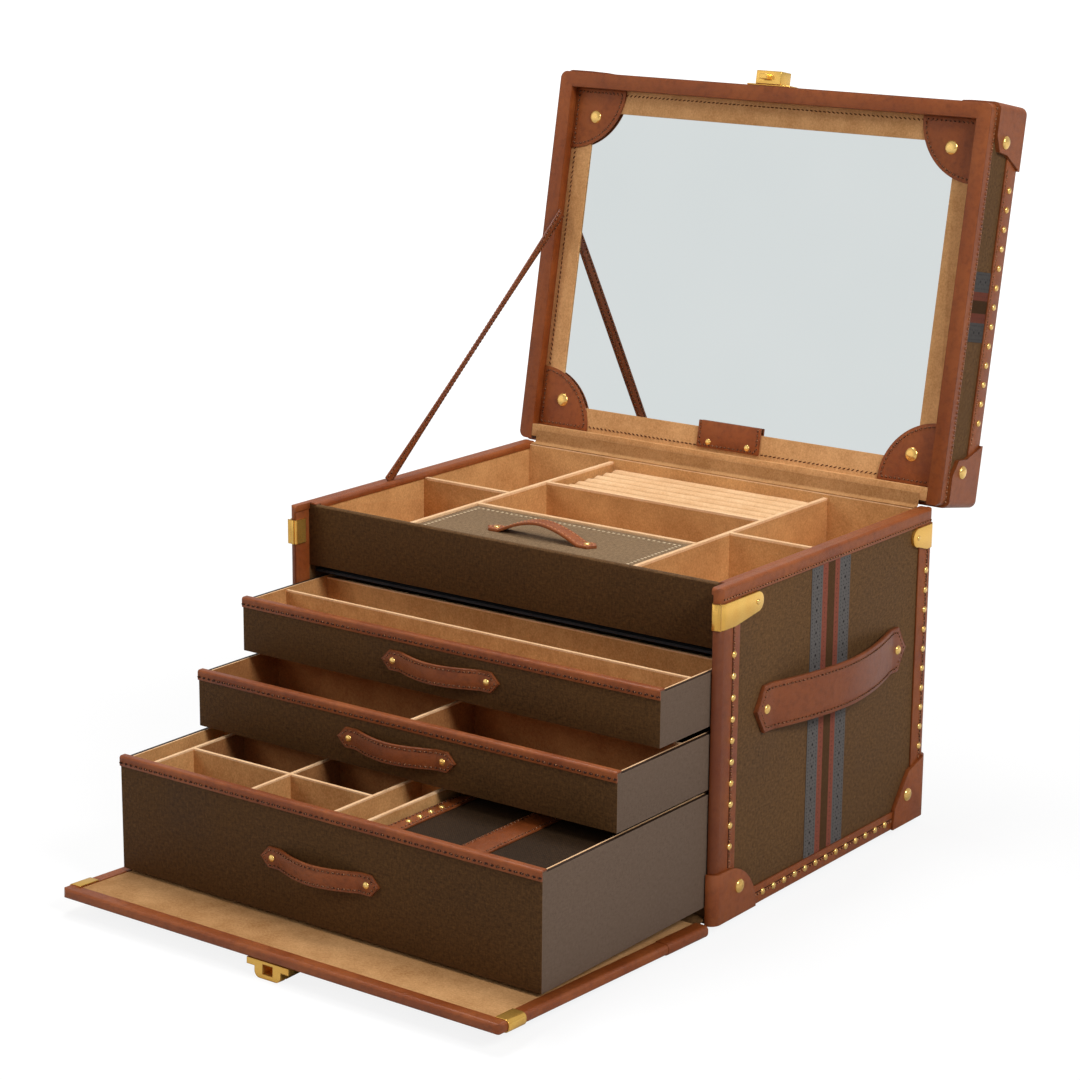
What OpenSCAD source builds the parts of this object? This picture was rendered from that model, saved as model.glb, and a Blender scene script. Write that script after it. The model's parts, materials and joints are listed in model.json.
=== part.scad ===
// Leather jewellery case: a trunk-style box with a mirror lid, a fixed top tray,
// three drawers and a fold-down front flap. Millimetres, +Z up, front towards -Y.
// The case's own measures count y from its front plane (back is positive) and
// z from the underside of its base board; place() moves them to the part's frame.

/* [Case] */
// Width over the canvas side walls
case_w = 330; // [300:5:360]
// Depth of the side walls, front to back
case_d = 251; // [235:1:270]
// Height of the side walls above the base's underside
case_h = 208; // [208:1:225]
// Thickness of the side walls
wall_t = 4; // [3:0.5:5]
// Thickness of the back wall
back_t = 4; // [3:0.5:6]
// Thickness of the base board
base_t = 11; // [9:0.5:11]
// Distance of the closed drawer fronts behind the front plane
recess = 13; // [12.5:0.5:18]
// Thickness of the shelves between the drawers
shelf_t = 1.8; // [1.5:0.1:2.4]

/* [Leather] */
// Thickness of the leather bindings and bands
hide_t = 1.2; // [1:0.1:1.5]
// Drop of the top binding down the outside of a wall
binding_drop = 8; // [6:0.5:10]
// Width of the front edging on the side wall
front_edging_w = 21; // [18:0.5:24]
// Width of the back edging on the side wall
back_edging_w = 17; // [15:0.5:20]
// Height of the studded band along the bottom
band_h = 12; // [11:0.5:14]
// Thickness of the corner patches
patch_t = 1.6; // [1.4:0.1:2]

/* [Brass] */
// Diameter of the small dome studs
stud_d = 4.6; // [3.6:0.2:5.2]
// Height of a stud's dome
stud_h = 1.4; // [1:0.1:1.8]
// Distance from stud to stud
stud_pitch = 13.3; // [12:0.1:16]
// Diameter of the corner rivets
rivet_d = 9; // [7:0.5:10]
// Thickness of the brass corner brackets
bracket_t = 1; // [0.8:0.1:1.2]

/* [Feet] */
// Height of the feet below the base board
foot_h = 6; // [6:0.5:8]
// Diameter of a foot
foot_d = 16; // [12:1:20]
// Distance of a foot's centre from the case's sides
foot_inset = 36; // [30:1:50]

/* [Tray] */
// Height of the tray's front panel
tray_h = 40.5; // [36:0.5:42]
// Thickness of the tray's front panel
tray_front_t = 4; // [3:0.5:5]
// Thickness of the tray's lined side and back walls
tray_wall_t = 5; // [4:0.5:6]
// Thickness of the suede dividers
divider_t = 3; // [2:0.5:4]
// Thickness of the tray's floor
tray_floor_t = 4; // [3:0.5:5]
// Place of the left long divider from the case's middle
tray_left_x = 84; // [70:1:95]
// Place of the right long divider from the case's middle
tray_right_x = 88.5; // [75:1:95]
// Depth of the lidded compartment
lidded_depth = 72; // [60:1:80]
// Depth of the open compartment behind it
open_depth = 73; // [60:1:78]
// Place of the cross dividers in the side columns, from the tray's front
cross_y = 108; // [90:1:120]
// Number of padded ring rolls
ring_roll_count = 7; // [5:1:8]

/* [Tray lid] */
// Thickness of the canvas lid of the front compartment
tray_lid_t = 2.4; // [2:0.2:3]
// Clearance around the canvas lid
tray_lid_gap = 0.6; // [0.4:0.1:1]
// Distance between the rivets of its handle
tray_handle_span = 70; // [60:1:80]
// Rise of its handle
tray_handle_rise = 9; // [7:0.5:9.5]

/* [Drawers] */
// Gap between a drawer and the walls beside it
drawer_side_gap = 0.8; // [0.6:0.1:1.2]
// Gap above and below a drawer
drawer_gap = 0.4; // [0.3:0.1:0.6]
// Height of the top drawer's front
drawer_1_h = 35.5; // [33:0.5:36]
// Height of the middle drawer's front
drawer_2_h = 36.8; // [34:0.5:37]
// Distance that the top drawer stands out of the front plane
drawer_1_out = 52.5; // [30:0.5:100]
// Distance that the middle drawer stands out of the front plane
drawer_2_out = 94.5; // [60:0.5:140]
// Distance that the bottom drawer stands out of the front plane
drawer_3_out = 165; // [120:0.5:180]
// Thickness of a drawer's front
drawer_front_t = 4; // [3:0.5:5]
// Thickness of a drawer's sides, back and floor
drawer_board_t = 2.6; // [2:0.2:3]
// Thickness of the suede lining
lining_t = 1; // [0.8:0.1:1.4]
// Height by which the sides stay below the front's top
side_step = 2; // [1.5:0.25:3]

/* [Straps] */
// Thickness of the drawer pulls
pull_t = 2.2; // [1.8:0.1:2.6]
// Width of a drawer pull
pull_w = 13; // [11:0.5:16]
// Distance between a pull's rivets
pull_span = 72; // [60:1:84]
// Bow of a pull away from the drawer
pull_bow = 8.5; // [6:0.5:9]
// Thickness of the side handles
handle_t = 3.2; // [2.6:0.2:4]
// Width of a side handle
handle_w = 30; // [24:1:34]
// Distance between a side handle's rivets
handle_span = 157; // [140:1:165]
// Bow of a side handle away from the wall
handle_bow = 13; // [10:0.5:16]
// Height of the side handles above the base's underside
handle_z = 124; // [110:1:135]

/* [Lid] */
// Width of the lid
lid_w = 340; // [336:1:366]
// Depth of the lid when it is shut
lid_d = 260; // [259:1:280]
// Height of the lid
lid_h = 44.4; // [40:0.5:50]
// Angle at which the stay strap holds the open lid
lid_angle = 100.5; // [95:0.5:105]
// Width of the leather rim around the lid's opening
rim_w = 10.5; // [9:0.5:12]
// Depth of the mirror's frame inside the rim
mirror_depth = 8; // [8:0.5:12]
// Width of the suede frame around the mirror
frame_w = 16; // [12:1:22]
// Size of the quarter-round leather corners on the mirror
mirror_corner = 42; // [34:1:48]

/* [Flap] */
// Width of the front flap
flap_w = 334; // [330:1:360]
// Length of the front flap
flap_l = 205; // [196:1:206]
// Thickness of the flap over its rolled edge
flap_t = 6.4; // [5.6:0.2:6.4]
// Tilt of the lowered flap, which rests on its latch
flap_tilt = 2.4; // [2.3:0.1:2.5]
// Depth of the latch box on the flap's outer face
latch_h = 10.6; // [10:0.1:10.7]
// Width of the latch box
latch_w = 20; // [16:1:24]

/* [Drawer dividers] */
// Distance of the top drawer's first divider behind its front
drawer_1_cross = 38.3; // [30:0.1:60]
// Distance between the top drawer's two dividers
drawer_1_pitch = 40.7; // [30:0.1:60]
// Depth of the middle drawer's front compartments
drawer_2_cross = 72; // [50:1:120]
// Place of the middle drawer's long divider from its middle
drawer_2_long = 2.5; // [-40:0.5:40]
// Depth of the bottom drawer's front compartments
drawer_3_cross = 44; // [30:1:60]
// Depth of the bottom drawer's divided left half
drawer_3_cells = 90; // [80:1:140]

/* [Travel case] */
// Distance of the travel case's top below the top of the drawer's front
travel_gap = 9.3; // [6.3:0.5:20.3]
// Depth of the travel case
travel_d = 150; // [120:1:180]
// Distance of the travel case's left side from the drawer's middle
travel_x0 = 31; // [20:1:60]

/* [Hidden] */

canvas = [0.36, 0.30, 0.21];
hide = [0.56, 0.31, 0.19];
suede = [0.82, 0.65, 0.46];
brass = [0.87, 0.70, 0.34];
paper = [0.33, 0.36, 0.42];

inner_x = case_w / 2 - wall_t;
case_top = case_h + hide_t;
hinge_y = case_d + 1;
hinge_z = case_top + 1.3;
lid_len = lid_d;

// Levels of the drawers, from the base upwards
drawer_w = 2 * (inner_x - drawer_side_gap);
tray_z = case_h - tray_h;
tray_floor_z = tray_z;
drawer_1_z = tray_z - drawer_1_h - 7.5;
shelf_2_z = drawer_1_z - drawer_gap - shelf_t;
drawer_2_z = shelf_2_z - drawer_gap - drawer_2_h;
shelf_1_z = drawer_2_z - drawer_gap - shelf_t;
drawer_3_z = base_t + drawer_gap;
drawer_3_h = drawer_2_z - 2 * drawer_gap - drawer_3_z;
drawer_d = case_d - back_t - recess - 1;

// Flap: its near edge and its slope
flap_y = -8;
flap_z = -3.6;
function flap_point(u, v) = [flap_y - u * cos(flap_tilt) + v * sin(flap_tilt),
    flap_z + u * sin(flap_tilt) + v * cos(flap_tilt)];

// Middle of the whole open case, front to back, which is the frame's origin
flap_roll = 2.4;
front_reach = flap_point(flap_l, flap_roll)[0];
back_reach = hinge_y - (lid_len + patch_t) * cos(lid_angle) + (lid_h + patch_t) * sin(lid_angle);
y_mid = (front_reach + back_reach) / 2;

module place() {
    translate([0, -y_mid, foot_h]) children();
}
module both() {
    children();
    mirror([1, 0, 0]) children();
}
// A lid piece is drawn with x across, y from hinge to front edge, z from rim to top
module on_lid() {
    place() translate([0, hinge_y, hinge_z]) rotate([180 - lid_angle, 0, 0]) mirror([0, 0, 1])
        children();
}
// A flap piece is drawn with x across, y from hinge to free edge, z from outer to inner face
module on_flap() {
    place() translate([0, flap_y, flap_z]) rotate([-flap_tilt, 0, 0]) mirror([0, 1, 0]) children();
}

// ---- Shapes that several pieces share ----

// Plan of the case's outside, grown by g, with rounded upright corners
corner_r = 4;
module round_rect(w, d, r) {
    square([w - 2 * r, d], center = true);
    square([w, d - 2 * r], center = true);
    for (x = [-1, 1], y = [-1, 1]) translate([x * (w / 2 - r), y * (d / 2 - r)]) circle(r, $fn = 48);
}
module case_plan(g) {
    translate([0, case_d / 2]) round_rect(case_w + 2 * g, case_d + 2 * g, corner_r + g);
}
module case_ring(g0, g1, z0, z1) {
    translate([0, 0, z0]) linear_extrude(z1 - z0) difference() {
        case_plan(g1);
        case_plan(g0);
    }
}
// The lid's plan, drawn from its hinge edge at 0
module lid_plan(inset) {
    translate([0, lid_len / 2]) round_rect(lid_w - 2 * inset, lid_len - 2 * inset, corner_r + 1 - inset / 4);
}
// Low dome with a flat back at z = 0
module dome(d, h) {
    r = (d * d / 4 + h * h) / (2 * h);
    intersection() {
        translate([0, 0, h - r]) sphere(r, $fn = 32);
        translate([-d, -d, 0]) cube([2 * d, 2 * d, h + 1]);
    }
}
// Dome on a side wall: face is the outward x of the surface it sits on
module side_dome(face, y, z, d, h) {
    translate([face, y, z]) rotate([0, 90, 0]) dome(d, h);
}
// Bow of a strap that is flat under its rivets and stands away between them
function bow_at(x, half, bow) = abs(x) >= half ? 0 : bow * (1 + cos(180 * x / half)) / 2;
// Strap in the x-y plane, bowed towards +y, with pointed ends, w wide along z
module bowed_strap(span, bow, t, w, end, point) {
    half = span / 2 - end * 0.55;
    reach = span / 2 + end;
    steps = 20;
    xs = [for (i = [0:steps]) -half + 2 * half * i / steps];
    low = [for (x = xs) [x, bow_at(x, half, bow)]];
    high = [for (i = [steps:-1:0]) [xs[i], bow_at(xs[i], half, bow) + t]];
    intersection() {
        translate([0, 0, -w / 2]) linear_extrude(w)
            polygon(concat([[-reach, 0]], low, [[reach, 0], [reach, t]], high, [[-reach, t]]));
        rotate([-90, 0, 0]) linear_extrude(bow + t + 1)
            polygon([[-reach, 0], [-reach + point, w / 2], [reach - point, w / 2],
                [reach, 0], [reach - point, -w / 2], [-reach + point, -w / 2]]);
    }
}

// ---- Case: boards ----

module base_board() {
    color(canvas) place() translate([-inner_x, 0, 0]) cube([2 * inner_x, case_d - back_t, base_t]);
}
module wall_board() {
    place() intersection() {
        linear_extrude(case_h) case_plan(0);
        translate([inner_x, 0, 0]) cube([wall_t, case_d, case_h]);
    }
}
module right_wall() {
    color(canvas) wall_board();
}
module left_wall() {
    color(canvas) mirror([1, 0, 0]) wall_board();
}
module back_wall() {
    color(canvas) place() translate([-inner_x, case_d - back_t, 0]) cube([2 * inner_x, back_t, case_h]);
}
shelf_3_z = drawer_1_z + drawer_1_h + drawer_gap + 1.5;
shelf_y = recess + drawer_front_t + 1.6;
module shelves() {
    color(paper) place() {
        for (z = [shelf_1_z, shelf_2_z, shelf_3_z])
            translate([-inner_x, shelf_y, z]) cube([2 * inner_x, case_d - back_t - shelf_y, shelf_t]);
        translate([-inner_x, recess + tray_front_t, tray_floor_z])
            cube([2 * inner_x, case_d - back_t - recess - tray_front_t, tray_floor_t]);
    }
}
module feet() {
    color(brass) place() both() for (y = [foot_inset, case_d - foot_inset])
        translate([case_w / 2 - foot_inset, y, -foot_h]) {
            cylinder(d1 = foot_d - 2, d2 = foot_d, h = 1, $fn = 40);
            translate([0, 0, 1]) cylinder(d = foot_d, h = foot_h - 1, $fn = 40);
        }
}

// ---- Case: tray ----

tray_in_x = inner_x - tray_wall_t;
tray_back_t = 2;
tray_in_y0 = recess + tray_front_t + lining_t;
tray_in_y1 = case_d - back_t - tray_back_t;
tray_in_z = tray_floor_z + tray_floor_t + lining_t;
divider_top = case_h - 2.5;
lidded_y1 = tray_in_y0 + lidded_depth;
open_y1 = lidded_y1 + divider_t + open_depth;
tray_lid_z = divider_top - 1.2 - tray_lid_t;
module tray_front() {
    r = 1.6;
    color(canvas) place() translate([-inner_x, recess, tray_z]) rotate([90, 0, 90])
        linear_extrude(2 * inner_x) {
        square([tray_front_t, tray_h - r]);
        translate([r, tray_h - 2 * r]) square([tray_front_t - 2 * r, 2 * r]);
        for (y = [r, tray_front_t - r]) translate([y, tray_h - r]) circle(r, $fn = 32);
    }
}
module tray_lining() {
    y0 = recess + tray_front_t;
    z0 = tray_floor_z + tray_floor_t;
    color(suede) place() difference() {
        translate([-inner_x, y0, z0]) cube([2 * inner_x, case_d - back_t - y0, case_h - z0]);
        translate([-tray_in_x, tray_in_y0, tray_in_z])
            cube([2 * tray_in_x, tray_in_y1 - tray_in_y0, case_h]);
        translate([-tray_in_x, y0 - 1, case_h - 2.4]) cube([2 * tray_in_x, 4, case_h]);
    }
}
// Upright board of the tray, from one plan corner to the other
module tray_board(x0, y0, x1, y1) {
    translate([x0, y0, tray_in_z]) cube([x1 - x0, y1 - y0, divider_top - tray_in_z]);
}
ledge = 3;
module tray_dividers() {
    dt = divider_t / 2;
    color(suede) place() {
        tray_board(-tray_left_x - dt, tray_in_y0, -tray_left_x + dt, tray_in_y1);
        tray_board(tray_right_x - dt, tray_in_y0, tray_right_x + dt, tray_in_y1);
        difference() {
            for (x = [-tray_in_x, tray_right_x])
                tray_board(x, tray_in_y0 + cross_y, x < 0 ? -tray_left_x : tray_in_x,
                    tray_in_y0 + cross_y + divider_t);
            // room for the inner leg of the wall's leather
            both() translate([binding_in, 0, case_h - inner_drop]) cube([hide_t + 1, case_d, inner_drop]);
        }
        tray_board(-tray_left_x, lidded_y1, tray_right_x, lidded_y1 + divider_t);
        tray_board(-tray_left_x, open_y1, tray_right_x, open_y1 + divider_t);
        for (x = [-tray_left_x + dt, tray_right_x - dt - ledge])
            translate([x, tray_in_y0, tray_lid_z - 0.3 - 2 * ledge]) cube([ledge, lidded_depth, 2 * ledge]);
    }
}
module ring_rolls() {
    y0 = open_y1 + divider_t + 0.4;
    pitch = (tray_in_y1 - 0.4 - y0) / ring_roll_count;
    r = pitch / 2 - 0.1;
    x0 = -tray_left_x + divider_t / 2 + 0.4;
    len = tray_left_x + tray_right_x - divider_t - 0.8;
    roll_top = divider_top - 4;
    color(suede) place() for (i = [0:ring_roll_count - 1])
        translate([x0, y0 + pitch * (i + 0.5), tray_in_z]) rotate([90, 0, 90]) linear_extrude(len) {
            translate([-r, 0]) square([2 * r, roll_top - r - tray_in_z]);
            translate([0, roll_top - r - tray_in_z]) circle(r, $fn = 32);
        }
}

// ---- Case: leather ----

binding_in = tray_in_x - hide_t;
binding_out = case_w / 2 + hide_t;
inner_drop = 3;
crown_r = 2.4;
edging_top = case_h - binding_drop;
// Section of the binding over a wall's top, from x0 to x1, with round shoulders
module crown(x0, x1) {
    translate([x0, edging_top]) square([x1 - x0, case_top - crown_r - edging_top]);
    translate([x0 + crown_r, edging_top]) square([x1 - x0 - 2 * crown_r, case_top - edging_top]);
    for (x = [x0 + crown_r, x1 - crown_r]) translate([x, case_top - crown_r]) circle(crown_r, $fn = 32);
}
module top_bindings() {
    color(hide) place() both() difference() {
        intersection() {
            linear_extrude(case_top) case_plan(hide_t);
            translate([0, case_d + 9, 0]) rotate([90, 0, 0])
                linear_extrude(case_d + 18) crown(binding_in, binding_out);
            translate([inner_x - 20, 0, 0]) rotate([90, 0, 90])
                linear_extrude(40) crown(-hide_t, case_d + 40);
        }
        // the wall, and behind the tray's front also the tray's lining
        intersection() {
            linear_extrude(case_h) case_plan(0);
            union() {
                translate([inner_x, -1, 0]) cube([20, case_d + 2, case_h]);
                translate([tray_in_x, recess, 0]) cube([20, case_d, case_h]);
            }
        }
        translate([0, -9, 0]) cube([inner_x - hide_t, 9 + recess, case_top + 1]);
        translate([0, -9, 0]) cube([inner_x, 9 + recess, case_h - inner_drop]);
        // inner leg only along the open tray
        translate([0, recess - 1, 0]) cube([tray_in_x, case_d, case_h - inner_drop]);
        translate([0, recess, 0]) cube([tray_in_x, tray_in_y0 - recess, case_h]);
        translate([0, tray_in_y1, 0]) cube([tray_in_x, 20, case_h]);
        translate([0, case_d, 0]) cube([inner_x, 9, case_top + 1]);
    }
}
module edging_zone() {
    translate([inner_x, -9, 0]) cube([20, 9 + front_edging_w, edging_top]);
    translate([case_w / 2 - back_edging_w, case_d - back_edging_w, 0])
        cube([back_edging_w + 9, back_edging_w + 9, edging_top]);
}
module band_zone() {
    translate([case_w / 2 - 5, front_edging_w, 0])
        cube([10, case_d - front_edging_w - back_edging_w, band_h]);
    translate([0, case_d - 5, 0]) cube([case_w / 2 - back_edging_w, 10, band_h]);
}
module side_edgings() {
    color(hide) place() both() intersection() {
        case_ring(0, hide_t, 0, edging_top);
        edging_zone();
    }
}
module bottom_bands() {
    color(hide) place() intersection() {
        case_ring(0, hide_t, 0, band_h);
        both() band_zone();
    }
}
// Side view of a front patch: y from the front plane, with its quarter-round end
front_patch_r = 32.5;
front_patch_w = 44;
module front_patch_side() {
    flat = front_patch_w - front_patch_r;
    translate([-9, 0]) square([9 + flat, front_patch_r]);
    intersection() {
        translate([flat, 0]) circle(front_patch_r, $fn = 64);
        square([front_patch_w + 1, front_patch_r + 1]);
    }
}
// Side view of a back patch: distance from the corner, and height
back_patch = 40;
module back_patch_side() {
    polygon([[-9, 0], [back_patch, 0], [back_patch - 2, 14], [21, 36], [0, 42], [-9, 42]]);
}
// Extrudes a view of the side wall, and the same view of the back wall, through the skins
module front_corner_view() {
    translate([inner_x, 0, 0]) rotate([90, 0, 90]) linear_extrude(20) children();
}
module back_corner_view() {
    translate([inner_x, case_d, 0]) rotate([90, 0, 90]) linear_extrude(20) mirror([1, 0]) children();
    translate([case_w / 2, case_d - corner_r, 0]) rotate([90, 0, 180]) linear_extrude(20) children();
}
// A piece laid over the edging and the band, filling down to the canvas beside them
module over_skin(t) {
    difference() {
        intersection() {
            case_ring(0, hide_t + t, 0, case_h);
            children();
        }
        intersection() {
            case_ring(-1, hide_t, -1, case_h);
            union() {
                edging_zone();
                band_zone();
            }
        }
    }
}
module corner_patches() {
    color(hide) place() both() {
        over_skin(patch_t) front_corner_view() front_patch_side();
        over_skin(patch_t) back_corner_view() back_patch_side();
    }
}
bracket_top = edging_top - 0.4;
bracket_end = 6.3;
bracket_l = 44.8;
back_bracket_l = 26.6;
bracket_h = 16;
module bracket_side(l) {
    polygon([[-9, bracket_top - bracket_h], [l / 3, bracket_top - bracket_h],
        [l - bracket_end, bracket_top - 2 * bracket_end], [l - bracket_end, bracket_top],
        [-9, bracket_top]]);
    translate([l - bracket_end, bracket_top - bracket_end]) circle(bracket_end, $fn = 40);
}
module corner_brackets() {
    color(brass) place() both() {
        over_skin(bracket_t) front_corner_view() bracket_side(bracket_l);
        over_skin(bracket_t) back_corner_view() bracket_side(back_bracket_l);
    }
}

// ---- Case: fasteners and straps ----

patch_face = case_w / 2 + hide_t + patch_t;
bracket_face = case_w / 2 + hide_t + bracket_t;
handle_y = case_d / 2 + 3;
handle_end = 10.5;
handle_point = 9;
module case_rivets() {
    color(brass) place() both() {
        side_dome(patch_face, 24.9, 18.8, rivet_d, 2);
        side_dome(patch_face, case_d - 22.5, 20, rivet_d, 2);
        for (y = [bracket_l - bracket_end, case_d - back_bracket_l + bracket_end])
            side_dome(bracket_face, y, bracket_top - bracket_end, 3.4, 0.9);
        for (s = [-1, 1])
            side_dome(case_w / 2 + handle_t, handle_y + s * handle_span / 2, handle_z, 6.4, 1.6);
    }
}
band_stud_pitch = stud_pitch * 0.93;
module case_studs() {
    z0 = front_patch_r + 14;
    y0 = front_patch_w + 9.8;
    rows = floor((bracket_top - bracket_h - 8 - z0) / stud_pitch);
    count = floor((case_d - back_patch - 7 - y0) / band_stud_pitch);
    color(brass) place() both() {
        for (i = [0:rows]) {
            side_dome(binding_out, front_edging_w * 0.7, z0 + i * stud_pitch, stud_d, stud_h);
            side_dome(binding_out, case_d - 7.4, z0 + 3 + i * stud_pitch, stud_d, stud_h);
        }
        for (i = [0:count]) side_dome(binding_out, y0 + i * band_stud_pitch, band_h / 2, stud_d, stud_h);
    }
}
module side_handles() {
    color(hide) place() both() translate([case_w / 2, handle_y, handle_z]) rotate([0, 0, -90])
        bowed_strap(handle_span, handle_bow, handle_t, handle_w, handle_end, handle_point);
}
stripe_w = 45.5;
stripe_t = 0.4;
module case_stripes() {
    color(paper) place() both()
        translate([case_w / 2, (case_d - stripe_w) / 2, band_h])
            cube([stripe_t, stripe_w, edging_top - band_h]);
}

// ---- Hinge and stay strap ----

// Point of the open lid's section: u from the hinge, v from the rim
function lid_point(u, v) = [hinge_y - u * cos(lid_angle) + v * sin(lid_angle),
    hinge_z + u * sin(lid_angle) + v * cos(lid_angle)];
// Extrudes a section drawn as y and z, between x0 and x1
module across(x0, x1) {
    translate([x0, 0, 0]) rotate([90, 0, 90]) linear_extrude(x1 - x0) children();
}
soft_gap = 0.3;
hinge_cloth_t = 0.8;
hinge_cloth_lap = 6.5;
module hinge_lining() {
    t = hinge_cloth_t;
    x = binding_in - 0.4;
    color(suede) place() across(-x, x)
        polygon([[tray_in_y1 + 0.2, case_h], [case_d - t / 2, case_h], lid_point(-0.4, -soft_gap),
            lid_point(hinge_cloth_lap, -soft_gap), lid_point(hinge_cloth_lap, -soft_gap - t),
            lid_point(0.4, -soft_gap - t),
            [case_d - t / 2 - 0.5, case_h + t], [tray_in_y1 + 0.2, case_h + t]]);
}
hinge_leather_leg = 14;
module hinge_leather() {
    x = case_w / 2 - back_bracket_l - 2;
    leg = hinge_leather_leg;
    color(hide) place() across(-x, x)
        polygon([[case_d, case_h - leg], [case_d + hide_t, case_h - leg], [case_d + hide_t, case_h - 3.4],
            lid_point(-soft_gap, 5), lid_point(-soft_gap, leg), lid_point(hide_t - soft_gap, leg),
            lid_point(hide_t - soft_gap, 3.2), [case_d, case_h - 2.2]]);
}
// The strap stands taut between the left wall's binding and the lid's left side
strap_foot_y = 90;
strap_head_u = 161;
strap_w = 10;
strap_t = 1.2;
module stay_strap() {
    x = lid_w / 2 - rim_w - 0.9;
    foot = [strap_foot_y, case_top];
    head = lid_point(strap_head_u, 3.6);
    along = (head - foot) / norm(head - foot);
    side = [-along[1], along[0]] * strap_w / 2;
    cut = [strap_w / 2 / along[1], 0];
    color(hide) place() across(-x, strap_t - x)
        polygon([foot - cut, head + side, head - side, foot + cut]);
}

// ---- Tray lid ----

module tray_lid() {
    g = tray_lid_gap;
    x0 = divider_t / 2 + g - tray_left_x;
    x1 = tray_right_x - divider_t / 2 - g;
    color(canvas) place() translate([x0, tray_in_y0 + g, tray_lid_z])
        cube([x1 - x0, lidded_depth - 2 * g, tray_lid_t]);
}
tray_handle_x = (tray_right_x - tray_left_x) / 2;
tray_handle_y = tray_in_y0 + lidded_depth / 2 - 8;
tray_handle_t = 1.8;
tray_handle_w = 11;
tray_handle_end = 7;
tray_handle_point = 4;
module tray_lid_handle() {
    color(hide) place() translate([tray_handle_x, tray_handle_y, tray_lid_z + tray_lid_t]) rotate([90, 0, 0])
        bowed_strap(tray_handle_span, tray_handle_rise, tray_handle_t, tray_handle_w,
            tray_handle_end, tray_handle_point);
}
module tray_lid_rivets() {
    color(brass) place() for (s = [-1, 1])
        translate([tray_handle_x + s * tray_handle_span / 2, tray_handle_y,
            tray_lid_z + tray_lid_t + tray_handle_t]) dome(4.4, 1);
}

// ---- Lid ----

lid_board_t = rim_w - 2 * hide_t;
top_board_t = 4;
open_x = lid_w / 2 - rim_w;
open_u = lid_len - rim_w;
rim_leg = 8;
lid_strip_v = 30;
top_strip_w = 15;
module lid_shell() {
    inset = hide_t + lid_board_t;
    color(canvas) on_lid() difference() {
        translate([0, 0, hide_t]) linear_extrude(lid_h - 2 * hide_t) lid_plan(hide_t);
        translate([inset - lid_w / 2, inset, 0])
            cube([lid_w - 2 * inset, lid_len - 2 * inset, lid_h - hide_t - top_board_t]);
    }
}
module lid_leather() {
    // rim on the front and the two sides, over the board's edge and down inside
    difference() {
        linear_extrude(rim_leg) lid_plan(0);
        translate([-open_x, -1, -1]) cube([2 * open_x, open_u + 1, rim_leg + 2]);
        translate([0, 0, hide_t]) linear_extrude(rim_leg) difference() {
            lid_plan(hide_t);
            translate([-open_x - hide_t, hide_t + lid_board_t])
                square([2 * (open_x + hide_t), open_u - lid_board_t]);
        }
    }
    // studded edging round the top panel
    difference() {
        translate([0, 0, lid_strip_v]) linear_extrude(lid_h - lid_strip_v) lid_plan(0);
        linear_extrude(lid_h - hide_t) lid_plan(hide_t);
        linear_extrude(lid_h + 1) lid_plan(top_strip_w);
    }
}
module lid_bindings() {
    color(hide) on_lid() lid_leather();
}
lid_patch = 40;
// Side view of a lid patch: distance from the corner, and height from the rim
module lid_patch_side() {
    polygon([[-9, 9], [20, 9], [30, 15], [31, 26], [lid_patch, lid_h + patch_t], [-9, lid_h + patch_t]]);
}
module lid_patch_at() {
    difference() {
        intersection() {
            linear_extrude(lid_h + patch_t) lid_plan(-patch_t);
            union() {
                translate([lid_w / 2 - 5, 0, 0]) rotate([90, 0, 90]) linear_extrude(20) lid_patch_side();
                translate([lid_w / 2, -9, 0]) rotate([90, 0, 180]) linear_extrude(14) lid_patch_side();
                translate([lid_w / 2, 0, lid_h - hide_t]) cylinder(r = lid_patch, h = 9, $fn = 64);
            }
        }
        linear_extrude(lid_h - hide_t) lid_plan(hide_t);
        lid_leather();
    }
}
module lid_corner_patches() {
    color(hide) on_lid() both() {
        lid_patch_at();
        translate([0, lid_len, 0]) mirror([0, 1, 0]) lid_patch_at();
    }
}
lid_tab_t = 1.6;
module lid_rivets() {
    color(brass) on_lid() both() {
        for (u = [22.4, lid_len - 23.2]) side_dome(lid_w / 2 + patch_t, u, 22, rivet_d, 2);
        for (u = [rim_w + 19.5, open_u - 19.5])
            translate([open_x - 18.5, u, mirror_depth - hide_t]) mirror([0, 0, 1]) dome(8.4, 2);
        translate([15.7, rim_w + 6.4, mirror_depth - lid_tab_t]) mirror([0, 0, 1]) dome(3.8, 0.9);
    }
}
lid_stud_pitch = stud_pitch * 0.955;
module lid_studs() {
    u0 = lid_patch + 14.7;
    count = floor((lid_len - lid_patch - 12 - u0) / lid_stud_pitch);
    color(brass) on_lid() both() for (i = [0:count])
        side_dome(lid_w / 2, u0 + i * lid_stud_pitch, lid_h - 6.4, stud_d, stud_h);
}
module lid_stripes() {
    u = (lid_len - stripe_w) / 2;
    color(paper) on_lid() {
        both() translate([lid_w / 2 - hide_t, u, rim_leg]) cube([stripe_t, stripe_w, lid_strip_v - rim_leg]);
        translate([top_strip_w - lid_w / 2, u, lid_h - hide_t])
            cube([lid_w - 2 * top_strip_w, stripe_w, stripe_t]);
    }
}
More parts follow.
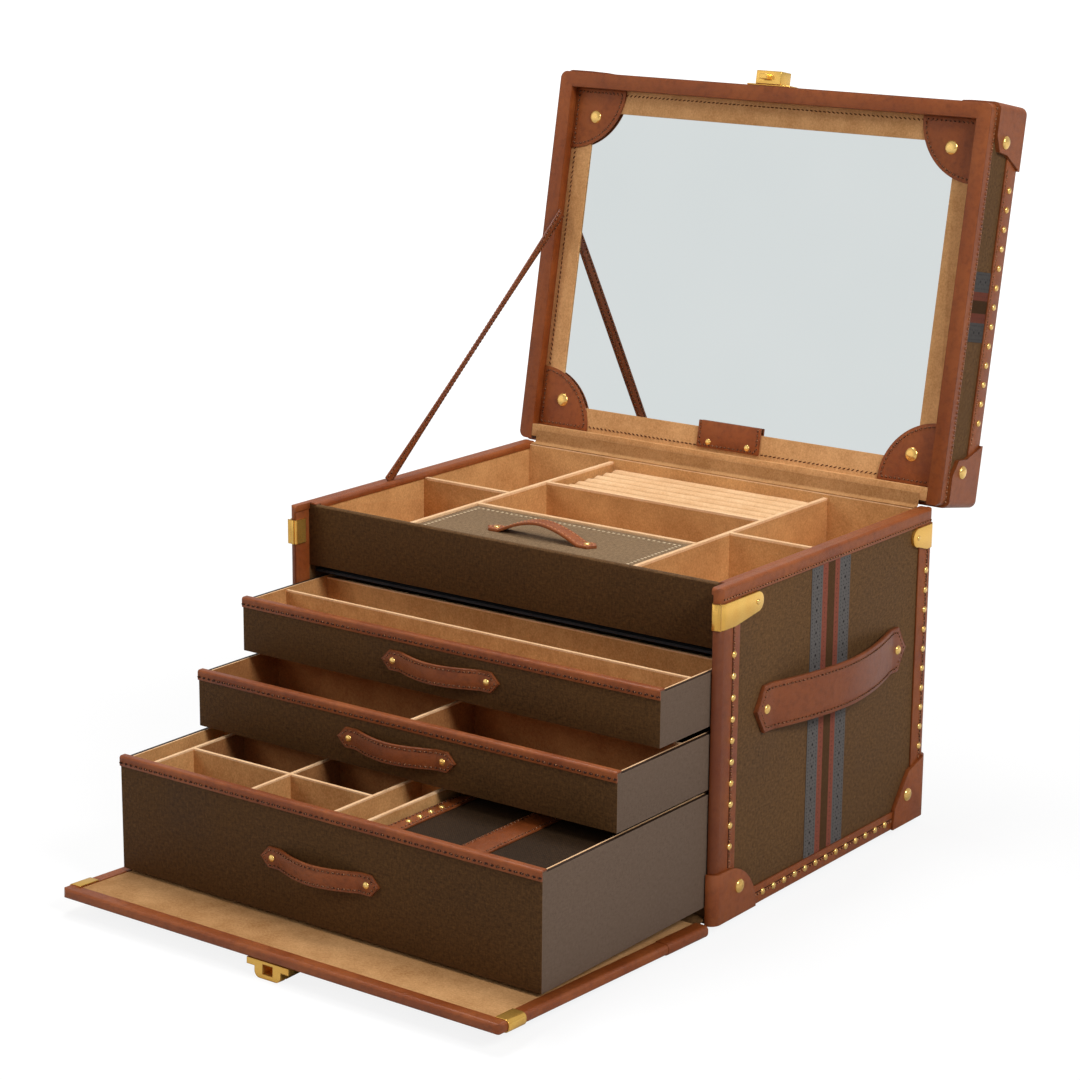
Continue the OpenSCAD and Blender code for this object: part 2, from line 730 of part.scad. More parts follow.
// Box between u0 and u1, half-width x, from v0 to v1
module lid_box(x, u0, u1, v0, v1) {
    translate([-x, u0, v0]) cube([2 * x, u1 - u0, v1 - v0]);
}
frame_lip = 1.2;
frame_t = 6;
glass_lap = 4;
glass_v = mirror_depth + frame_lip;
glass_t = 2.6;
module mirror_frame() {
    x = open_x + hide_t - 0.2;
    color(suede) on_lid() difference() {
        union() {
            lid_box(x, rim_w - hide_t + 0.2, open_u + hide_t - 0.2, mirror_depth, mirror_depth + frame_t);
            // facing of the rim at the hinge
            lid_box(open_x, 2, rim_w, 0, hide_t);
            lid_box(open_x, rim_w - hide_t, rim_w, 0, mirror_depth + hide_t);
        }
        lid_box(open_x - frame_w, rim_w + frame_w, open_u - frame_w, 0, glass_v + 0.1);
        lid_box(open_x - frame_w + glass_lap, rim_w + frame_w - glass_lap, open_u - frame_w + glass_lap,
            glass_v, glass_v + glass_t);
    }
}
module mirror_glass() {
    color([0.8, 0.85, 0.87]) on_lid() lid_box(open_x - frame_w + glass_lap, rim_w + frame_w - glass_lap,
        open_u - frame_w + glass_lap, glass_v, glass_v + glass_t);
}
module mirror_corners() {
    color(hide) on_lid() both() intersection() {
        for (u = [rim_w, open_u]) translate([open_x, u, mirror_depth - hide_t])
            cylinder(r = mirror_corner, h = hide_t, $fn = 64);
        lid_box(open_x, rim_w, open_u, 0, mirror_depth);
    }
}
module lid_tab() {
    color(hide) on_lid() lid_box(25, rim_w + 2.4, rim_w + 20.8, mirror_depth - lid_tab_t, mirror_depth);
}
tongue_w = 6;
module lid_lock() {
    color(brass) on_lid() translate([0, lid_len, 0]) {
        translate([-17, 0, 2]) cube([34, 1.2, 11]);
        translate([-9.8, 1.2, 1]) cube([19.6, 9, 13]);
        translate([-tongue_w / 2, 4, -6]) cube([tongue_w, 3.6, 8]);
    }
}

// ---- Flap ----

flap_x = flap_w / 2;
flap_leg = 9;
flap_v0 = 1;
flap_v1 = flap_t - 1.2;
flap_inset = 1.8;
flap_corner = 6;
module flap_plan(x, l, r) {
    translate([r - x, 0]) square([2 * (x - r), l]);
    translate([-x, 0]) square([2 * x, l - r]);
    for (s = [-1, 1]) translate([s * (x - r), l - r]) circle(r, $fn = 40);
}
// Solid outline of the flap with its rolled edges, grown by g
module flap_form(g) {
    r = flap_roll + g;
    x = flap_x + g;
    l = flap_l + g;
    intersection() {
        translate([0, 0, -g - 1]) linear_extrude(flap_t + 2 * g + 2) flap_plan(x, l, flap_corner + g);
        translate([0, l + 1, 0]) rotate([90, 0, 0]) linear_extrude(l + 2) {
            translate([r - x, -g]) square([2 * (x - r), flap_t + 2 * g]);
            translate([-x, r - g]) square([2 * x, flap_t + 2 * g - 2 * r]);
            for (s = [-1, 1], v = [r - g, flap_t + g - r]) translate([s * (x - r), v]) circle(r, $fn = 32);
        }
        translate([-x - 1, 0, 0]) rotate([90, 0, 90]) linear_extrude(2 * x + 2) {
            translate([0, -g]) square([l - r, flap_t + 2 * g]);
            translate([0, r - g]) square([l, flap_t + 2 * g - 2 * r]);
            for (v = [r - g, flap_t + g - r]) translate([l - r, v]) circle(r, $fn = 32);
        }
    }
}
flap_start = 0.6;
module flap_core() {
    translate([0, 0, flap_v0]) linear_extrude(flap_v1 - flap_v0) difference() {
        flap_plan(flap_x - flap_inset, flap_l - flap_inset, flap_corner - flap_inset);
        translate([-flap_x, -1]) square([flap_w, 1 + flap_start]);
    }
}
module flap_board() {
    color(canvas) on_flap() flap_core();
}
module flap_lining() {
    color(suede) on_flap() translate([flap_leg - flap_x, flap_start, flap_v1])
        cube([flap_w - 2 * flap_leg, flap_l - flap_leg - flap_start, 0.7]);
}
// Rolled leather round three edges, with a second wrap near the hinge
module flap_binding() {
    cap = 42;
    color(hide) on_flap() difference() {
        union() {
            flap_form(0);
            intersection() {
                flap_form(0.5);
                translate([-flap_x - 1, 0, -1]) cube([flap_w + 2, cap, flap_t + 2]);
            }
        }
        flap_core();
        translate([flap_leg - flap_x, -1, -1])
            cube([flap_w - 2 * flap_leg, flap_l - flap_leg + 1, flap_t + 2]);
    }
}
module flap_clips() {
    color(brass) on_flap() both() difference() {
        intersection() {
            flap_form(0.7);
            translate([flap_x - flap_leg, flap_l - 24, -1]) cube([20, 16, flap_t + 2]);
        }
        flap_form(0);
    }
}
// Cloth that closes the gap between the base and the flap
module flap_gusset() {
    y1 = flap_y + 0.6;
    color(paper) place() across(-inner_x + 1, inner_x - 1)
        polygon([[0, 5], [y1 / 2, 3.4], [y1, 1.4], [y1, 0.4], [y1 / 2, 2.4], [0, 4]]);
}
latch_u = flap_l - 0.6;
latch_plate_t = 5;
latch_l = 26;
latch_body_h = latch_h - 1.8;
button_d = 6;
button_u = latch_u - 18;
button_travel = 1.2;
module latch_box() {
    r = 4;
    w = latch_w / 2;
    color(brass) on_flap() difference() {
        union() {
            translate([0, latch_u, 0]) rotate([90, 0, 0]) linear_extrude(latch_plate_t) {
                translate([-w - 6, -4]) square([2 * w + 12, 4]);
                translate([-w, r - latch_h]) square([2 * w, latch_h - r]);
                translate([r - w, -latch_h]) square([2 * (w - r), latch_h]);
                for (s = [-1, 1]) translate([s * (w - r), r - latch_h]) circle(r, $fn = 32);
            }
            translate([0, 0, -latch_body_h]) linear_extrude(latch_body_h)
                polygon([[-w, latch_u - latch_plate_t], [2 - w, latch_u - latch_l],
                    [w - 2, latch_u - latch_l], [w, latch_u - latch_plate_t]]);
        }
        translate([-tongue_w / 2 - 0.8, latch_u - 12, -latch_body_h + 1])
            cube([tongue_w + 1.6, 13, latch_body_h - 2.8]);
        translate([0, button_u, -latch_h]) cylinder(d = button_d + 0.4, h = 6.7, $fn = 40);
    }
}
module latch_button() {
    color(brass) on_flap() translate([0, button_u, -latch_body_h - 1])
        cylinder(d = button_d, h = 4.5, $fn = 40);
}

// ---- Drawers ----

drawer_x = drawer_w / 2;
skin_t = 1;
skin_leg = 4;
front_leg = 6.5;
insert_t = 2.2;
pull_end = 9;
pull_point = 6;
module drawer_at(z, out) {
    place() translate([0, -out, z]) children();
}
module drawer_box(h) {
    color(canvas) difference() {
        union() {
            translate([-drawer_x, 0, 0]) cube([drawer_w, drawer_front_t, h - skin_t]);
            translate([-drawer_x, 1, 0]) cube([drawer_w, drawer_d - 1, h - side_step]);
        }
        translate([drawer_board_t - drawer_x, drawer_front_t, drawer_board_t])
            cube([drawer_w - 2 * drawer_board_t, drawer_d - drawer_front_t - drawer_board_t, h]);
    }
}
// Suede tray inside a drawer; the children are its dividers
module drawer_insert(h) {
    x = drawer_x - drawer_board_t;
    y0 = drawer_front_t;
    y1 = drawer_d - drawer_board_t;
    t = lining_t;
    color(suede) difference() {
        union() {
            difference() {
                translate([-x, y0, drawer_board_t]) cube([2 * x, y1 - y0, h - side_step - drawer_board_t]);
                translate([t - x, y0 + t, drawer_board_t + t]) cube([2 * (x - t), y1 - y0 - 2 * t, h]);
            }
            intersection() {
                translate([0.5 - x, y0 + 0.5, drawer_board_t + t / 2])
                    cube([2 * x - 1, y1 - y0 - 1, h - side_step - 1 - drawer_board_t - t / 2]);
                union() children();
            }
        }
        // room for the inner leg of the front's leather
        translate([-x - 1, y0 - 1, h - skin_leg]) cube([2 * x + 2, 1 + skin_t, h]);
    }
}
// Divider along X at y, from x0 to x1; and along Y at x, from y0 to y1
module cross_wall(y, x0, x1) {
    translate([x0, y - insert_t / 2, 0]) cube([x1 - x0, insert_t, case_h]);
}
module long_wall(x, y0, y1) {
    translate([x - insert_t / 2, y0, 0]) cube([insert_t, y1 - y0, case_h]);
}
// Leather over the top edge of a drawer's front
module drawer_binding(h) {
    r = 1.6;
    x = drawer_x - drawer_board_t - 0.2;
    y1 = drawer_front_t + skin_t;
    color(hide) difference() {
        intersection() {
            translate([-drawer_x, 0, 0]) rotate([90, 0, 90]) linear_extrude(drawer_w) {
                translate([-skin_t, h - front_leg]) square([y1 + skin_t, front_leg - r]);
                translate([r - skin_t, h - front_leg]) square([y1 + skin_t - 2 * r, front_leg]);
                for (y = [r - skin_t, y1 - r]) translate([y, h - r]) circle(r, $fn = 32);
            }
            union() {
                translate([-drawer_x, -9, 0]) cube([drawer_w, 9 + drawer_front_t, h]);
                translate([-x, 0, h - skin_leg]) cube([2 * x, 20, skin_leg]);
            }
        }
        translate([-drawer_x - 1, 0, 0]) cube([drawer_w + 2, drawer_front_t, h - skin_t]);
    }
}
module pull_at(h) {
    translate([0, 0, h / 2 - 1]) mirror([0, 1, 0]) children();
}
module drawer_pull(h) {
    color(hide) pull_at(h) bowed_strap(pull_span, pull_bow, pull_t, pull_w, pull_end, pull_point);
}
module pull_rivets(h) {
    color(brass) pull_at(h) for (s = [-1, 1])
        translate([s * pull_span / 2, pull_t, 0]) rotate([-90, 0, 0]) dome(4.5, 1.2);
}
module drawer_1_box() {
    drawer_at(drawer_1_z, drawer_1_out) drawer_box(drawer_1_h);
}
module drawer_1_insert() {
    drawer_at(drawer_1_z, drawer_1_out) drawer_insert(drawer_1_h) {
        cross_wall(drawer_1_cross, -drawer_w, drawer_w);
        cross_wall(drawer_1_cross + drawer_1_pitch, -drawer_w, drawer_w);
    }
}
module drawer_1_binding() {
    drawer_at(drawer_1_z, drawer_1_out) drawer_binding(drawer_1_h);
}
module drawer_1_pull() {
    drawer_at(drawer_1_z, drawer_1_out) drawer_pull(drawer_1_h);
}
module drawer_1_rivets() {
    drawer_at(drawer_1_z, drawer_1_out) pull_rivets(drawer_1_h);
}
module drawer_2_box() {
    drawer_at(drawer_2_z, drawer_2_out) drawer_box(drawer_2_h);
}
module drawer_2_insert() {
    drawer_at(drawer_2_z, drawer_2_out) drawer_insert(drawer_2_h) {
        cross_wall(drawer_2_cross, -drawer_w, drawer_w);
        long_wall(drawer_2_long, 0, drawer_2_cross);
    }
}
module drawer_2_binding() {
    drawer_at(drawer_2_z, drawer_2_out) drawer_binding(drawer_2_h);
}
module drawer_2_pull() {
    drawer_at(drawer_2_z, drawer_2_out) drawer_pull(drawer_2_h);
}
module drawer_2_rivets() {
    drawer_at(drawer_2_z, drawer_2_out) pull_rivets(drawer_2_h);
}
travel_x1 = drawer_x - drawer_board_t - lining_t - 0.6;
travel_y0 = drawer_front_t + lining_t + 1.5;
travel_y1 = travel_y0 + travel_d;
travel_z = drawer_board_t + lining_t;
travel_h = drawer_3_h - travel_z - travel_gap;
travel_wall_gap = 3;
travel_wall_x = travel_x0 - travel_wall_gap;
travel_wall_y = travel_y1 + travel_wall_gap + 1;
slot_w = 25;
cell_a_w = 79.5;
cell_b_w = 64.5;
cell_c_x = travel_wall_x - slot_w;
cell_x = [cell_c_x - cell_b_w - cell_a_w, cell_c_x - cell_b_w, cell_c_x];
module drawer_3_box() {
    drawer_at(drawer_3_z, drawer_3_out) drawer_box(drawer_3_h);
}
module drawer_3_insert() {
    drawer_at(drawer_3_z, drawer_3_out) drawer_insert(drawer_3_h) {
        for (x = cell_x) long_wall(x, 0, drawer_3_cells);
        cross_wall(drawer_3_cross, cell_x[0], cell_x[2]);
        cross_wall(drawer_3_cells, -drawer_w, travel_wall_x);
        long_wall(travel_wall_x, 0, travel_wall_y);
        cross_wall(travel_wall_y, travel_wall_x, drawer_w);
    }
}
module drawer_3_binding() {
    drawer_at(drawer_3_z, drawer_3_out) drawer_binding(drawer_3_h);
}
module drawer_3_pull() {
    drawer_at(drawer_3_z, drawer_3_out) drawer_pull(drawer_3_h);
}
strap_skin = 1.2;
travel_strap_x = 2.2;
travel_strap_w = 11;
travel_belt_x = 56;
travel_belt_w = 19;
travel_stud_y = 27;
travel_stud_pitch = 10.3;
module drawer_3_rivets() {
    drawer_at(drawer_3_z, drawer_3_out) {
        pull_rivets(drawer_3_h);
        color(brass) for (i = [0:3])
            translate([travel_x0 + travel_strap_x + 5.6, travel_y0 + travel_stud_y + travel_stud_pitch * i,
                travel_z + travel_h + strap_skin])
                dome(4, 1.2);
    }
}
// Section of the travel case grown by g, drawn as y and z
module travel_section(g) {
    r = 4 + g;
    translate([travel_y0 - g, travel_z]) square([travel_d + 2 * g, travel_h + g - r]);
    translate([travel_y0 - g + r, travel_z]) square([travel_d + 2 * g - 2 * r, travel_h + g]);
    for (y = [travel_y0 - g + r, travel_y1 + g - r])
        translate([y, travel_z + travel_h + g - r]) circle(r, $fn = 32);
}
module travel_case() {
    w = travel_x1 - travel_x0;
    color(canvas) drawer_at(drawer_3_z, drawer_3_out) intersection() {
        across(travel_x0, travel_x1) travel_section(0);
        translate([travel_x0 + w / 2, (travel_y0 + travel_y1) / 2, 0]) linear_extrude(case_h)
            round_rect(w, travel_d, 2);
    }
}
module travel_case_straps() {
    belts = [[travel_strap_x, travel_strap_w], [travel_belt_x, travel_belt_w]];
    color(hide) drawer_at(drawer_3_z, drawer_3_out) for (b = belts)
        across(travel_x0 + b[0], travel_x0 + b[0] + b[1]) difference() {
            travel_section(strap_skin);
            travel_section(0);
        }
}

base_board();
left_wall();
right_wall();
back_wall();
shelves();
feet();
tray_front();
tray_lining();
tray_dividers();
ring_rolls();
top_bindings();
side_edgings();
bottom_bands();
corner_patches();
corner_brackets();
case_rivets();
case_studs();
side_handles();
case_stripes();
hinge_lining();
hinge_leather();
stay_strap();
tray_lid();
tray_lid_handle();
tray_lid_rivets();
lid_shell();
lid_bindings();
lid_corner_patches();
lid_rivets();
lid_studs();
lid_stripes();
mirror_frame();
mirror_glass();
mirror_corners();
lid_tab();
lid_lock();
flap_board();
flap_lining();
flap_binding();
flap_clips();
flap_gusset();
latch_box();
latch_button();
drawer_1_box();
drawer_1_insert();
drawer_1_binding();
drawer_1_pull();
drawer_1_rivets();
drawer_2_box();
drawer_2_insert();
drawer_2_binding();
drawer_2_pull();
drawer_2_rivets();
drawer_3_box();
drawer_3_insert();
drawer_3_binding();
drawer_3_pull();
drawer_3_rivets();
travel_case();
travel_case_straps();
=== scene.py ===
# %% [markdown]
# # A leather jewellery case
# The case is a small trunk: canvas-covered boards, edges bound in tan leather, brass
# studs and rivets, and suede inside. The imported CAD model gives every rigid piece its
# place. This notebook dresses those pieces: it rounds their edges, lays leather straps,
# hinge cloths and ring rolls over the plain solids, and sews, rivets and colours them.

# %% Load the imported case
import json
import math

import bmesh
import bpy
import numpy as np
from mathutils import Matrix, Vector, noise


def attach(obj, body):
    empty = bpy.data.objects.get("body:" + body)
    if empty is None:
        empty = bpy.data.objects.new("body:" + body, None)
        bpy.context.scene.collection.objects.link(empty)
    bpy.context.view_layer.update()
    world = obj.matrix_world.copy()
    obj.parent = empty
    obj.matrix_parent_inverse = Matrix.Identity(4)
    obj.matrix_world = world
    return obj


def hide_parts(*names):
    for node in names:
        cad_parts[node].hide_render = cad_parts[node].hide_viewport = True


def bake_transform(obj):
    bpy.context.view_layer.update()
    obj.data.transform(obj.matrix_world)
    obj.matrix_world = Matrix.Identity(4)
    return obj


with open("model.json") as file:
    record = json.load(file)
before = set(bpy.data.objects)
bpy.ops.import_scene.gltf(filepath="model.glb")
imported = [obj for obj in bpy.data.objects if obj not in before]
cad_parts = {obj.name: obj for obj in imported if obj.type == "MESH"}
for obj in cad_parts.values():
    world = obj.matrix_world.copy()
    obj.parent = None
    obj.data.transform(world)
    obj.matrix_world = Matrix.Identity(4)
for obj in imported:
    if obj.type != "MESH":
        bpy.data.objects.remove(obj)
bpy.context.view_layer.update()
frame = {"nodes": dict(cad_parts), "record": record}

# %% [markdown]
# ## Measuring on the case, the lid, the flap and the drawers
# A trunk maker measures each board from its own edge. The same is done here: the case
# counts y from its front plane and z from its underside, the lid counts u from its hinge
# and v from its rim, and the flap likewise. Each helper turns such a measure, in
# millimetres, into a point of the shared frame, in metres.

# %% Own measures to frame points
MM = 0.001
MID_Y, FOOT_H = 66.0914, 6.0
HINGE_Y, HINGE_Z, LID_ANGLE = 252.0, 210.5, math.radians(100.5)
LID_LEAN = math.radians(-10.5)    # the open lid leans back past upright
FLAP_Y, FLAP_Z, FLAP_TILT = -8.0, -3.6, math.radians(2.4)
DRAWERS = {1: (52.5, 124.5, 35.5), 2: (94.5, 85.1, 36.8), 3: (165.0, 11.4, 72.9)}


def at_case(x, y, z):
    return Vector((x, y - MID_Y, z + FOOT_H)) * MM


def swung(y0, z0, angle):
    c, s = math.cos(angle), math.sin(angle)
    return lambda x, u, v: at_case(x, y0 - u * c + v * s, z0 + u * s + v * c)


at_lid = swung(HINGE_Y, HINGE_Z, LID_ANGLE)
at_flap = swung(FLAP_Y, FLAP_Z, FLAP_TILT)


def at_drawer(k):
    out, level, _ = DRAWERS[k]
    return lambda x, y, z: at_case(x, y - out, level + z)


FRAME_FROM_HINGE = Vector((0, HINGE_Y - MID_Y, HINGE_Z + FOOT_H))


def case_measure(p):
    """(x, y, z) in the case's millimetres of a point in the frame's millimetres."""
    return p[0], p[1] + MID_Y, p[2] - FOOT_H


def lid_measure(p):
    """(x, u, v) on the lid of a point in the frame's millimetres."""
    _, y, z = Vector(p) - FRAME_FROM_HINGE
    c, s = math.cos(LID_ANGLE), math.sin(LID_ANGLE)
    return p[0], s * z - c * y, s * y + c * z


BODY_OF = {n: b for b, nodes in frame["record"]["behaviour"]["bodies"].items() for n in nodes}
print("lid's front edge at", [round(c, 4) for c in at_lid(0, 260, 0)])

# %% [markdown]
# ## The camera
# It stands in front of the case's right side, a little above the lid's middle, with a
# long lens. Its place and its three angles are written out, so that nothing depends on
# the size of the picture.

# %% Camera
YAW, PITCH, ROLL = (math.radians(a) for a in (36.3939, -14.4409, 0.4611))


def add_camera():
    forward = Vector((-math.sin(YAW) * math.cos(PITCH), math.cos(YAW) * math.cos(PITCH),
                      math.sin(PITCH)))
    level = Vector((math.cos(YAW), math.sin(YAW), 0))
    upright = level.cross(forward)
    right = level * math.cos(ROLL) + upright * math.sin(ROLL)
    up = upright * math.cos(ROLL) - level * math.sin(ROLL)
    lens = bpy.data.cameras.new("camera")
    lens.lens, lens.sensor_width = 96.24, 36.0
    lens.clip_start, lens.clip_end = 0.01, 50
    camera = bpy.data.objects.new("camera", lens)
    axes = Matrix((right, up, -forward)).transposed().to_4x4()
    camera.matrix_world = Matrix.Translation((1.03773, -1.42657, 0.65884)) @ axes
    bpy.context.scene.collection.objects.link(camera)
    bpy.context.scene.camera = camera


add_camera()
print("camera", [round(c, 3) for c in bpy.context.scene.camera.location])

# %% [markdown]
# ## A small kit for finishes
# Every finish is a node tree on the Principled shader. Writing such trees socket by
# socket is long, so a small class adds one node per call: noise, steps, mixes and bumps.
# Patterns read Object coordinates, which stay with a piece when it moves.


# %% Finish kit
def ink(r, g, b):
    """A colour given as it looks on screen, 0 to 255, as Blender's linear values."""
    def one(c):
        c /= 255
        return c / 12.92 if c <= 0.04045 else ((c + 0.055) / 1.055) ** 2.4
    return (one(r), one(g), one(b), 1.0)


class Finish:
    def __init__(self, name, rough, **constants):
        self.material = bpy.data.materials.new(name)
        self.material.use_nodes = True
        self.nodes = self.material.node_tree.nodes
        self.shader = self.nodes["Principled BSDF"]
        self.wire(self.shader.inputs["Roughness"], rough)
        for title, value in constants.items():
            self.shader.inputs[title.replace("_", " ")].default_value = value
        source = self.nodes.new("ShaderNodeTexCoord")
        self.place, self.facing = source.outputs["Object"], source.outputs["Normal"]

    def wire(self, socket, value):
        if isinstance(value, bpy.types.NodeSocket):
            self.material.node_tree.links.new(value, socket)
        else:
            socket.default_value = value

    def add(self, kind, inputs, out=0, **settings):
        node = self.nodes.new(kind)
        for key, value in settings.items():
            setattr(node, key, value)
        for key, value in inputs.items():
            self.wire(node.inputs[key], value)
        return node.outputs[out]

    def maths(self, operation, a, b=0.0, c=0.0):
        return self.add("ShaderNodeMath", {0: a, 1: b, 2: c}, operation=operation)

    def axes(self, vector):
        node = self.nodes.new("ShaderNodeSeparateXYZ")
        self.wire(node.inputs[0], vector)
        return node.outputs[0], node.outputs[1], node.outputs[2]

    def joined(self, x, y, z=0.0):
        return self.add("ShaderNodeCombineXYZ", {0: x, 1: y, 2: z})

    def turned(self, vector, angles=(0, 0, 0), scale=(1, 1, 1)):
        return self.add("ShaderNodeMapping", {"Vector": vector, "Rotation": angles, "Scale": scale})

    def cloud(self, scale, detail=2.0, rough=0.5, vector=None):
        return self.add("ShaderNodeTexNoise", {"Vector": vector or self.place, "Scale": scale,
                                               "Detail": detail, "Roughness": rough})

    def cells(self, scale, vector=None, feature="F1"):
        return self.add("ShaderNodeTexVoronoi", {"Vector": vector or self.place, "Scale": scale},
                        feature=feature)

    def spread(self, value, low, high, to_low=0.0, to_high=1.0):
        return self.add("ShaderNodeMapRange", {"Value": value, "From Min": low, "From Max": high,
                                               "To Min": to_low, "To Max": to_high})

    def blend(self, share, a, b):
        return self.add("ShaderNodeMix", {0: share, 6: a, 7: b}, out=2, data_type="RGBA")

    def edge(self, radius):
        """0 on a flat face, 1 on an edge that turns within the radius."""
        soft = self.add("ShaderNodeBevel", {"Radius": radius}, samples=4)
        true = self.add("ShaderNodeNewGeometry", {}, out="Normal")
        same = self.add("ShaderNodeVectorMath", {0: soft, 1: true}, out="Value", operation="DOT_PRODUCT")
        return self.spread(same, 0.995, 0.80)

    def relief(self, height, depth, strength=1.0, over=None):
        inputs = {"Height": height, "Distance": depth, "Strength": strength}
        if over is not None:
            inputs["Normal"] = over
        return self.add("ShaderNodeBump", inputs)

    def done(self, colour=None, normal=None, rough=None):
        for title, value in (("Base Color", colour), ("Normal", normal), ("Roughness", rough)):
            if value is not None:
                self.wire(self.shader.inputs[title], value)
        return self.material


print("finish kit ready")

# %% [markdown]
# ## Coated canvas
# The boards are covered with an olive-brown cotton canvas under a thin coat. Its threads
# are under a millimetre, so from a step away they read as a fine grain with slightly
# darker and paler threads. The pattern is laid flat on each face by the face's own
# direction. A tilt turns it with the open lid. Edges are paler, partly from wear and
# partly as a painted highlight. A darker copy paints shade on the drawer and tray fronts,
# a still darker one on the travel case, and a paler copy paints sheen on the tray lid.


# %% Canvas
def flat_on_face(finish, tilt=0.0):
    """Two measures that run along the face, whichever way the face looks."""
    place, facing = finish.place, finish.facing
    if tilt:
        place, facing = finish.turned(place, (tilt, 0, 0)), finish.turned(facing, (tilt, 0, 0))
    x, y, z = finish.axes(place)
    nx, _, nz = finish.axes(facing)
    side = finish.maths("GREATER_THAN", finish.maths("ABSOLUTE", nx), 0.6)
    level = finish.maths("GREATER_THAN", finish.maths("ABSOLUTE", nz), 0.6)
    across = finish.add("ShaderNodeMix", {0: side, 2: x, 3: y})
    along = finish.add("ShaderNodeMix", {0: level, 2: z, 3: y})
    return across, along


def weave(finish, across, along, pitch):
    """Height of a plain weave, and how much paler or darker each thread is."""
    a, b = finish.maths("MULTIPLY", across, 1 / pitch), finish.maths("MULTIPLY", along, 1 / pitch)
    warp = finish.maths("ABSOLUTE", finish.maths("SINE", finish.maths("MULTIPLY", a, math.pi)))
    weft = finish.maths("ABSOLUTE", finish.maths("SINE", finish.maths("MULTIPLY", b, math.pi)))
    crossing = finish.maths("ADD", finish.maths("FLOOR", a), finish.maths("FLOOR", b))
    over = finish.maths("PINGPONG", crossing, 1.0)
    height = finish.add("ShaderNodeMix", {0: over, 2: warp, 3: weft})
    long_threads = finish.cloud(1.0, 2, 0.7, finish.joined(finish.maths("MULTIPLY", across, 850),
                                                           finish.maths("MULTIPLY", along, 330)))
    cross_threads = finish.cloud(1.0, 2, 0.7, finish.joined(finish.maths("MULTIPLY", across, 330),
                                                            finish.maths("MULTIPLY", along, 850), 5.0))
    return height, finish.maths("MULTIPLY", finish.maths("ADD", long_threads, cross_threads), 0.5)


def canvas_cloth(name, dark, pale, tilt=0.0, pitch=0.00085):
    cloth = Finish(name, 0.7, Specular_IOR_Level=0.16)
    across, along = flat_on_face(cloth, tilt)
    height, tone = weave(cloth, across, along, pitch)
    worn = cloth.cloud(14, 3, 0.6)
    share = cloth.maths("MULTIPLY_ADD", tone, 2.4, -0.82)
    share = cloth.maths("ADD", share, cloth.maths("MULTIPLY_ADD", worn, 0.5, -0.25))
    share = cloth.maths("MULTIPLY_ADD", height, 0.16, share)
    colour = cloth.blend(cloth.spread(share, 0.0, 1.0), dark, pale)
    # Edges are blended paler: partly wear, partly a painted highlight where the cloth turns.
    worn_edge_and_painted_highlight = tuple(min(1, 1.6 * c) for c in pale[:3]) + (1,)
    colour = cloth.blend(cloth.maths("MULTIPLY", cloth.edge(0.001), 0.5), colour, worn_edge_and_painted_highlight)
    normal = cloth.relief(height, 0.00012, 0.6)
    rough = cloth.spread(worn, 0.3, 0.7, 0.58, 0.74)
    return cloth.done(colour, normal, rough)


CANVAS_DARK, CANVAS_PALE = ink(70, 46, 24), ink(124, 90, 55)
canvas = canvas_cloth("coated_canvas", CANVAS_DARK, CANVAS_PALE)
lid_canvas = canvas_cloth("coated_canvas_on_lid", CANVAS_DARK, CANVAS_PALE, tilt=LID_LEAN)
# Darker copy of the canvas for the drawer and tray fronts: painted shade.
front_canvas_painted_shade = canvas_cloth("front_canvas_with_painted_shade", ink(53, 32, 13), ink(104, 72, 39))
# Darker copy for the travel case in drawer 3: painted shade.
travel_canvas_painted_shade = canvas_cloth("travel_canvas_with_painted_shade", ink(30, 19, 9), ink(64, 45, 27))
# Paler copy for the tray lid: painted sheen on its top.
tray_canvas_painted_sheen = canvas_cloth("tray_canvas_with_painted_sheen", ink(98, 75, 50), ink(158, 130, 98))
drawer_side_cloth = canvas_cloth("smooth_side_cloth", ink(98, 80, 66), ink(118, 98, 83), pitch=0.0006)
print("canvas:", canvas.name, lid_canvas.name, front_canvas_painted_shade.name, drawer_side_cloth.name)

# %% [markdown]
# ## Tan leather
# Vegetable-tanned hide has a cellular grain, clouds of paler and darker tan, and edges
# that the hand has darkened and polished. Cells give the grain, two noises the clouds,
# and the Bevel node finds the edges without any painting. The edgings of the side walls
# are painted darker along their front, as painted shade, which their depth in the case picks out.


# %% Leather
def tan_hide(name, dark, mid, pale, grain=0.00016, front=None):
    """front gives the depth, in metres, of a front edge that is painted darker, as painted shade."""
    hide = Finish(name, 0.4, Specular_IOR_Level=0.34, Coat_Weight=0.1, Coat_Roughness=0.2)
    clouds, flecks = hide.cloud(26, 4, 0.62), hide.cloud(260, 3, 0.6)
    body = hide.blend(hide.spread(clouds, 0.32, 0.68), mid, pale)
    body = hide.blend(hide.spread(flecks, 0.45, 0.75, 0.0, 0.35), body, dark)
    edge = hide.edge(0.0009)
    body = hide.blend(hide.maths("MULTIPLY", edge, hide.spread(clouds, 0.3, 0.7, 0.85, 0.35)), body, dark)
    # Painted shade: the front of the edging is darkened by its depth in the case.
    if front is not None:
        depth = hide.axes(hide.place)[1]
        body = hide.blend(hide.spread(depth, front + 0.0125, front + 0.001, 0.12, 0.62), body, dark)
    pores = hide.cells(1500, feature="DISTANCE_TO_EDGE")
    skin = hide.maths("ADD", hide.spread(pores, 0.0, 0.25), hide.maths("MULTIPLY", flecks, 0.8))
    normal = hide.relief(skin, grain, 0.5)
    rough = hide.maths("ADD", hide.spread(clouds, 0.3, 0.7, 0.3, 0.44), hide.maths("MULTIPLY", flecks, 0.08))
    return hide.done(body, normal, rough)


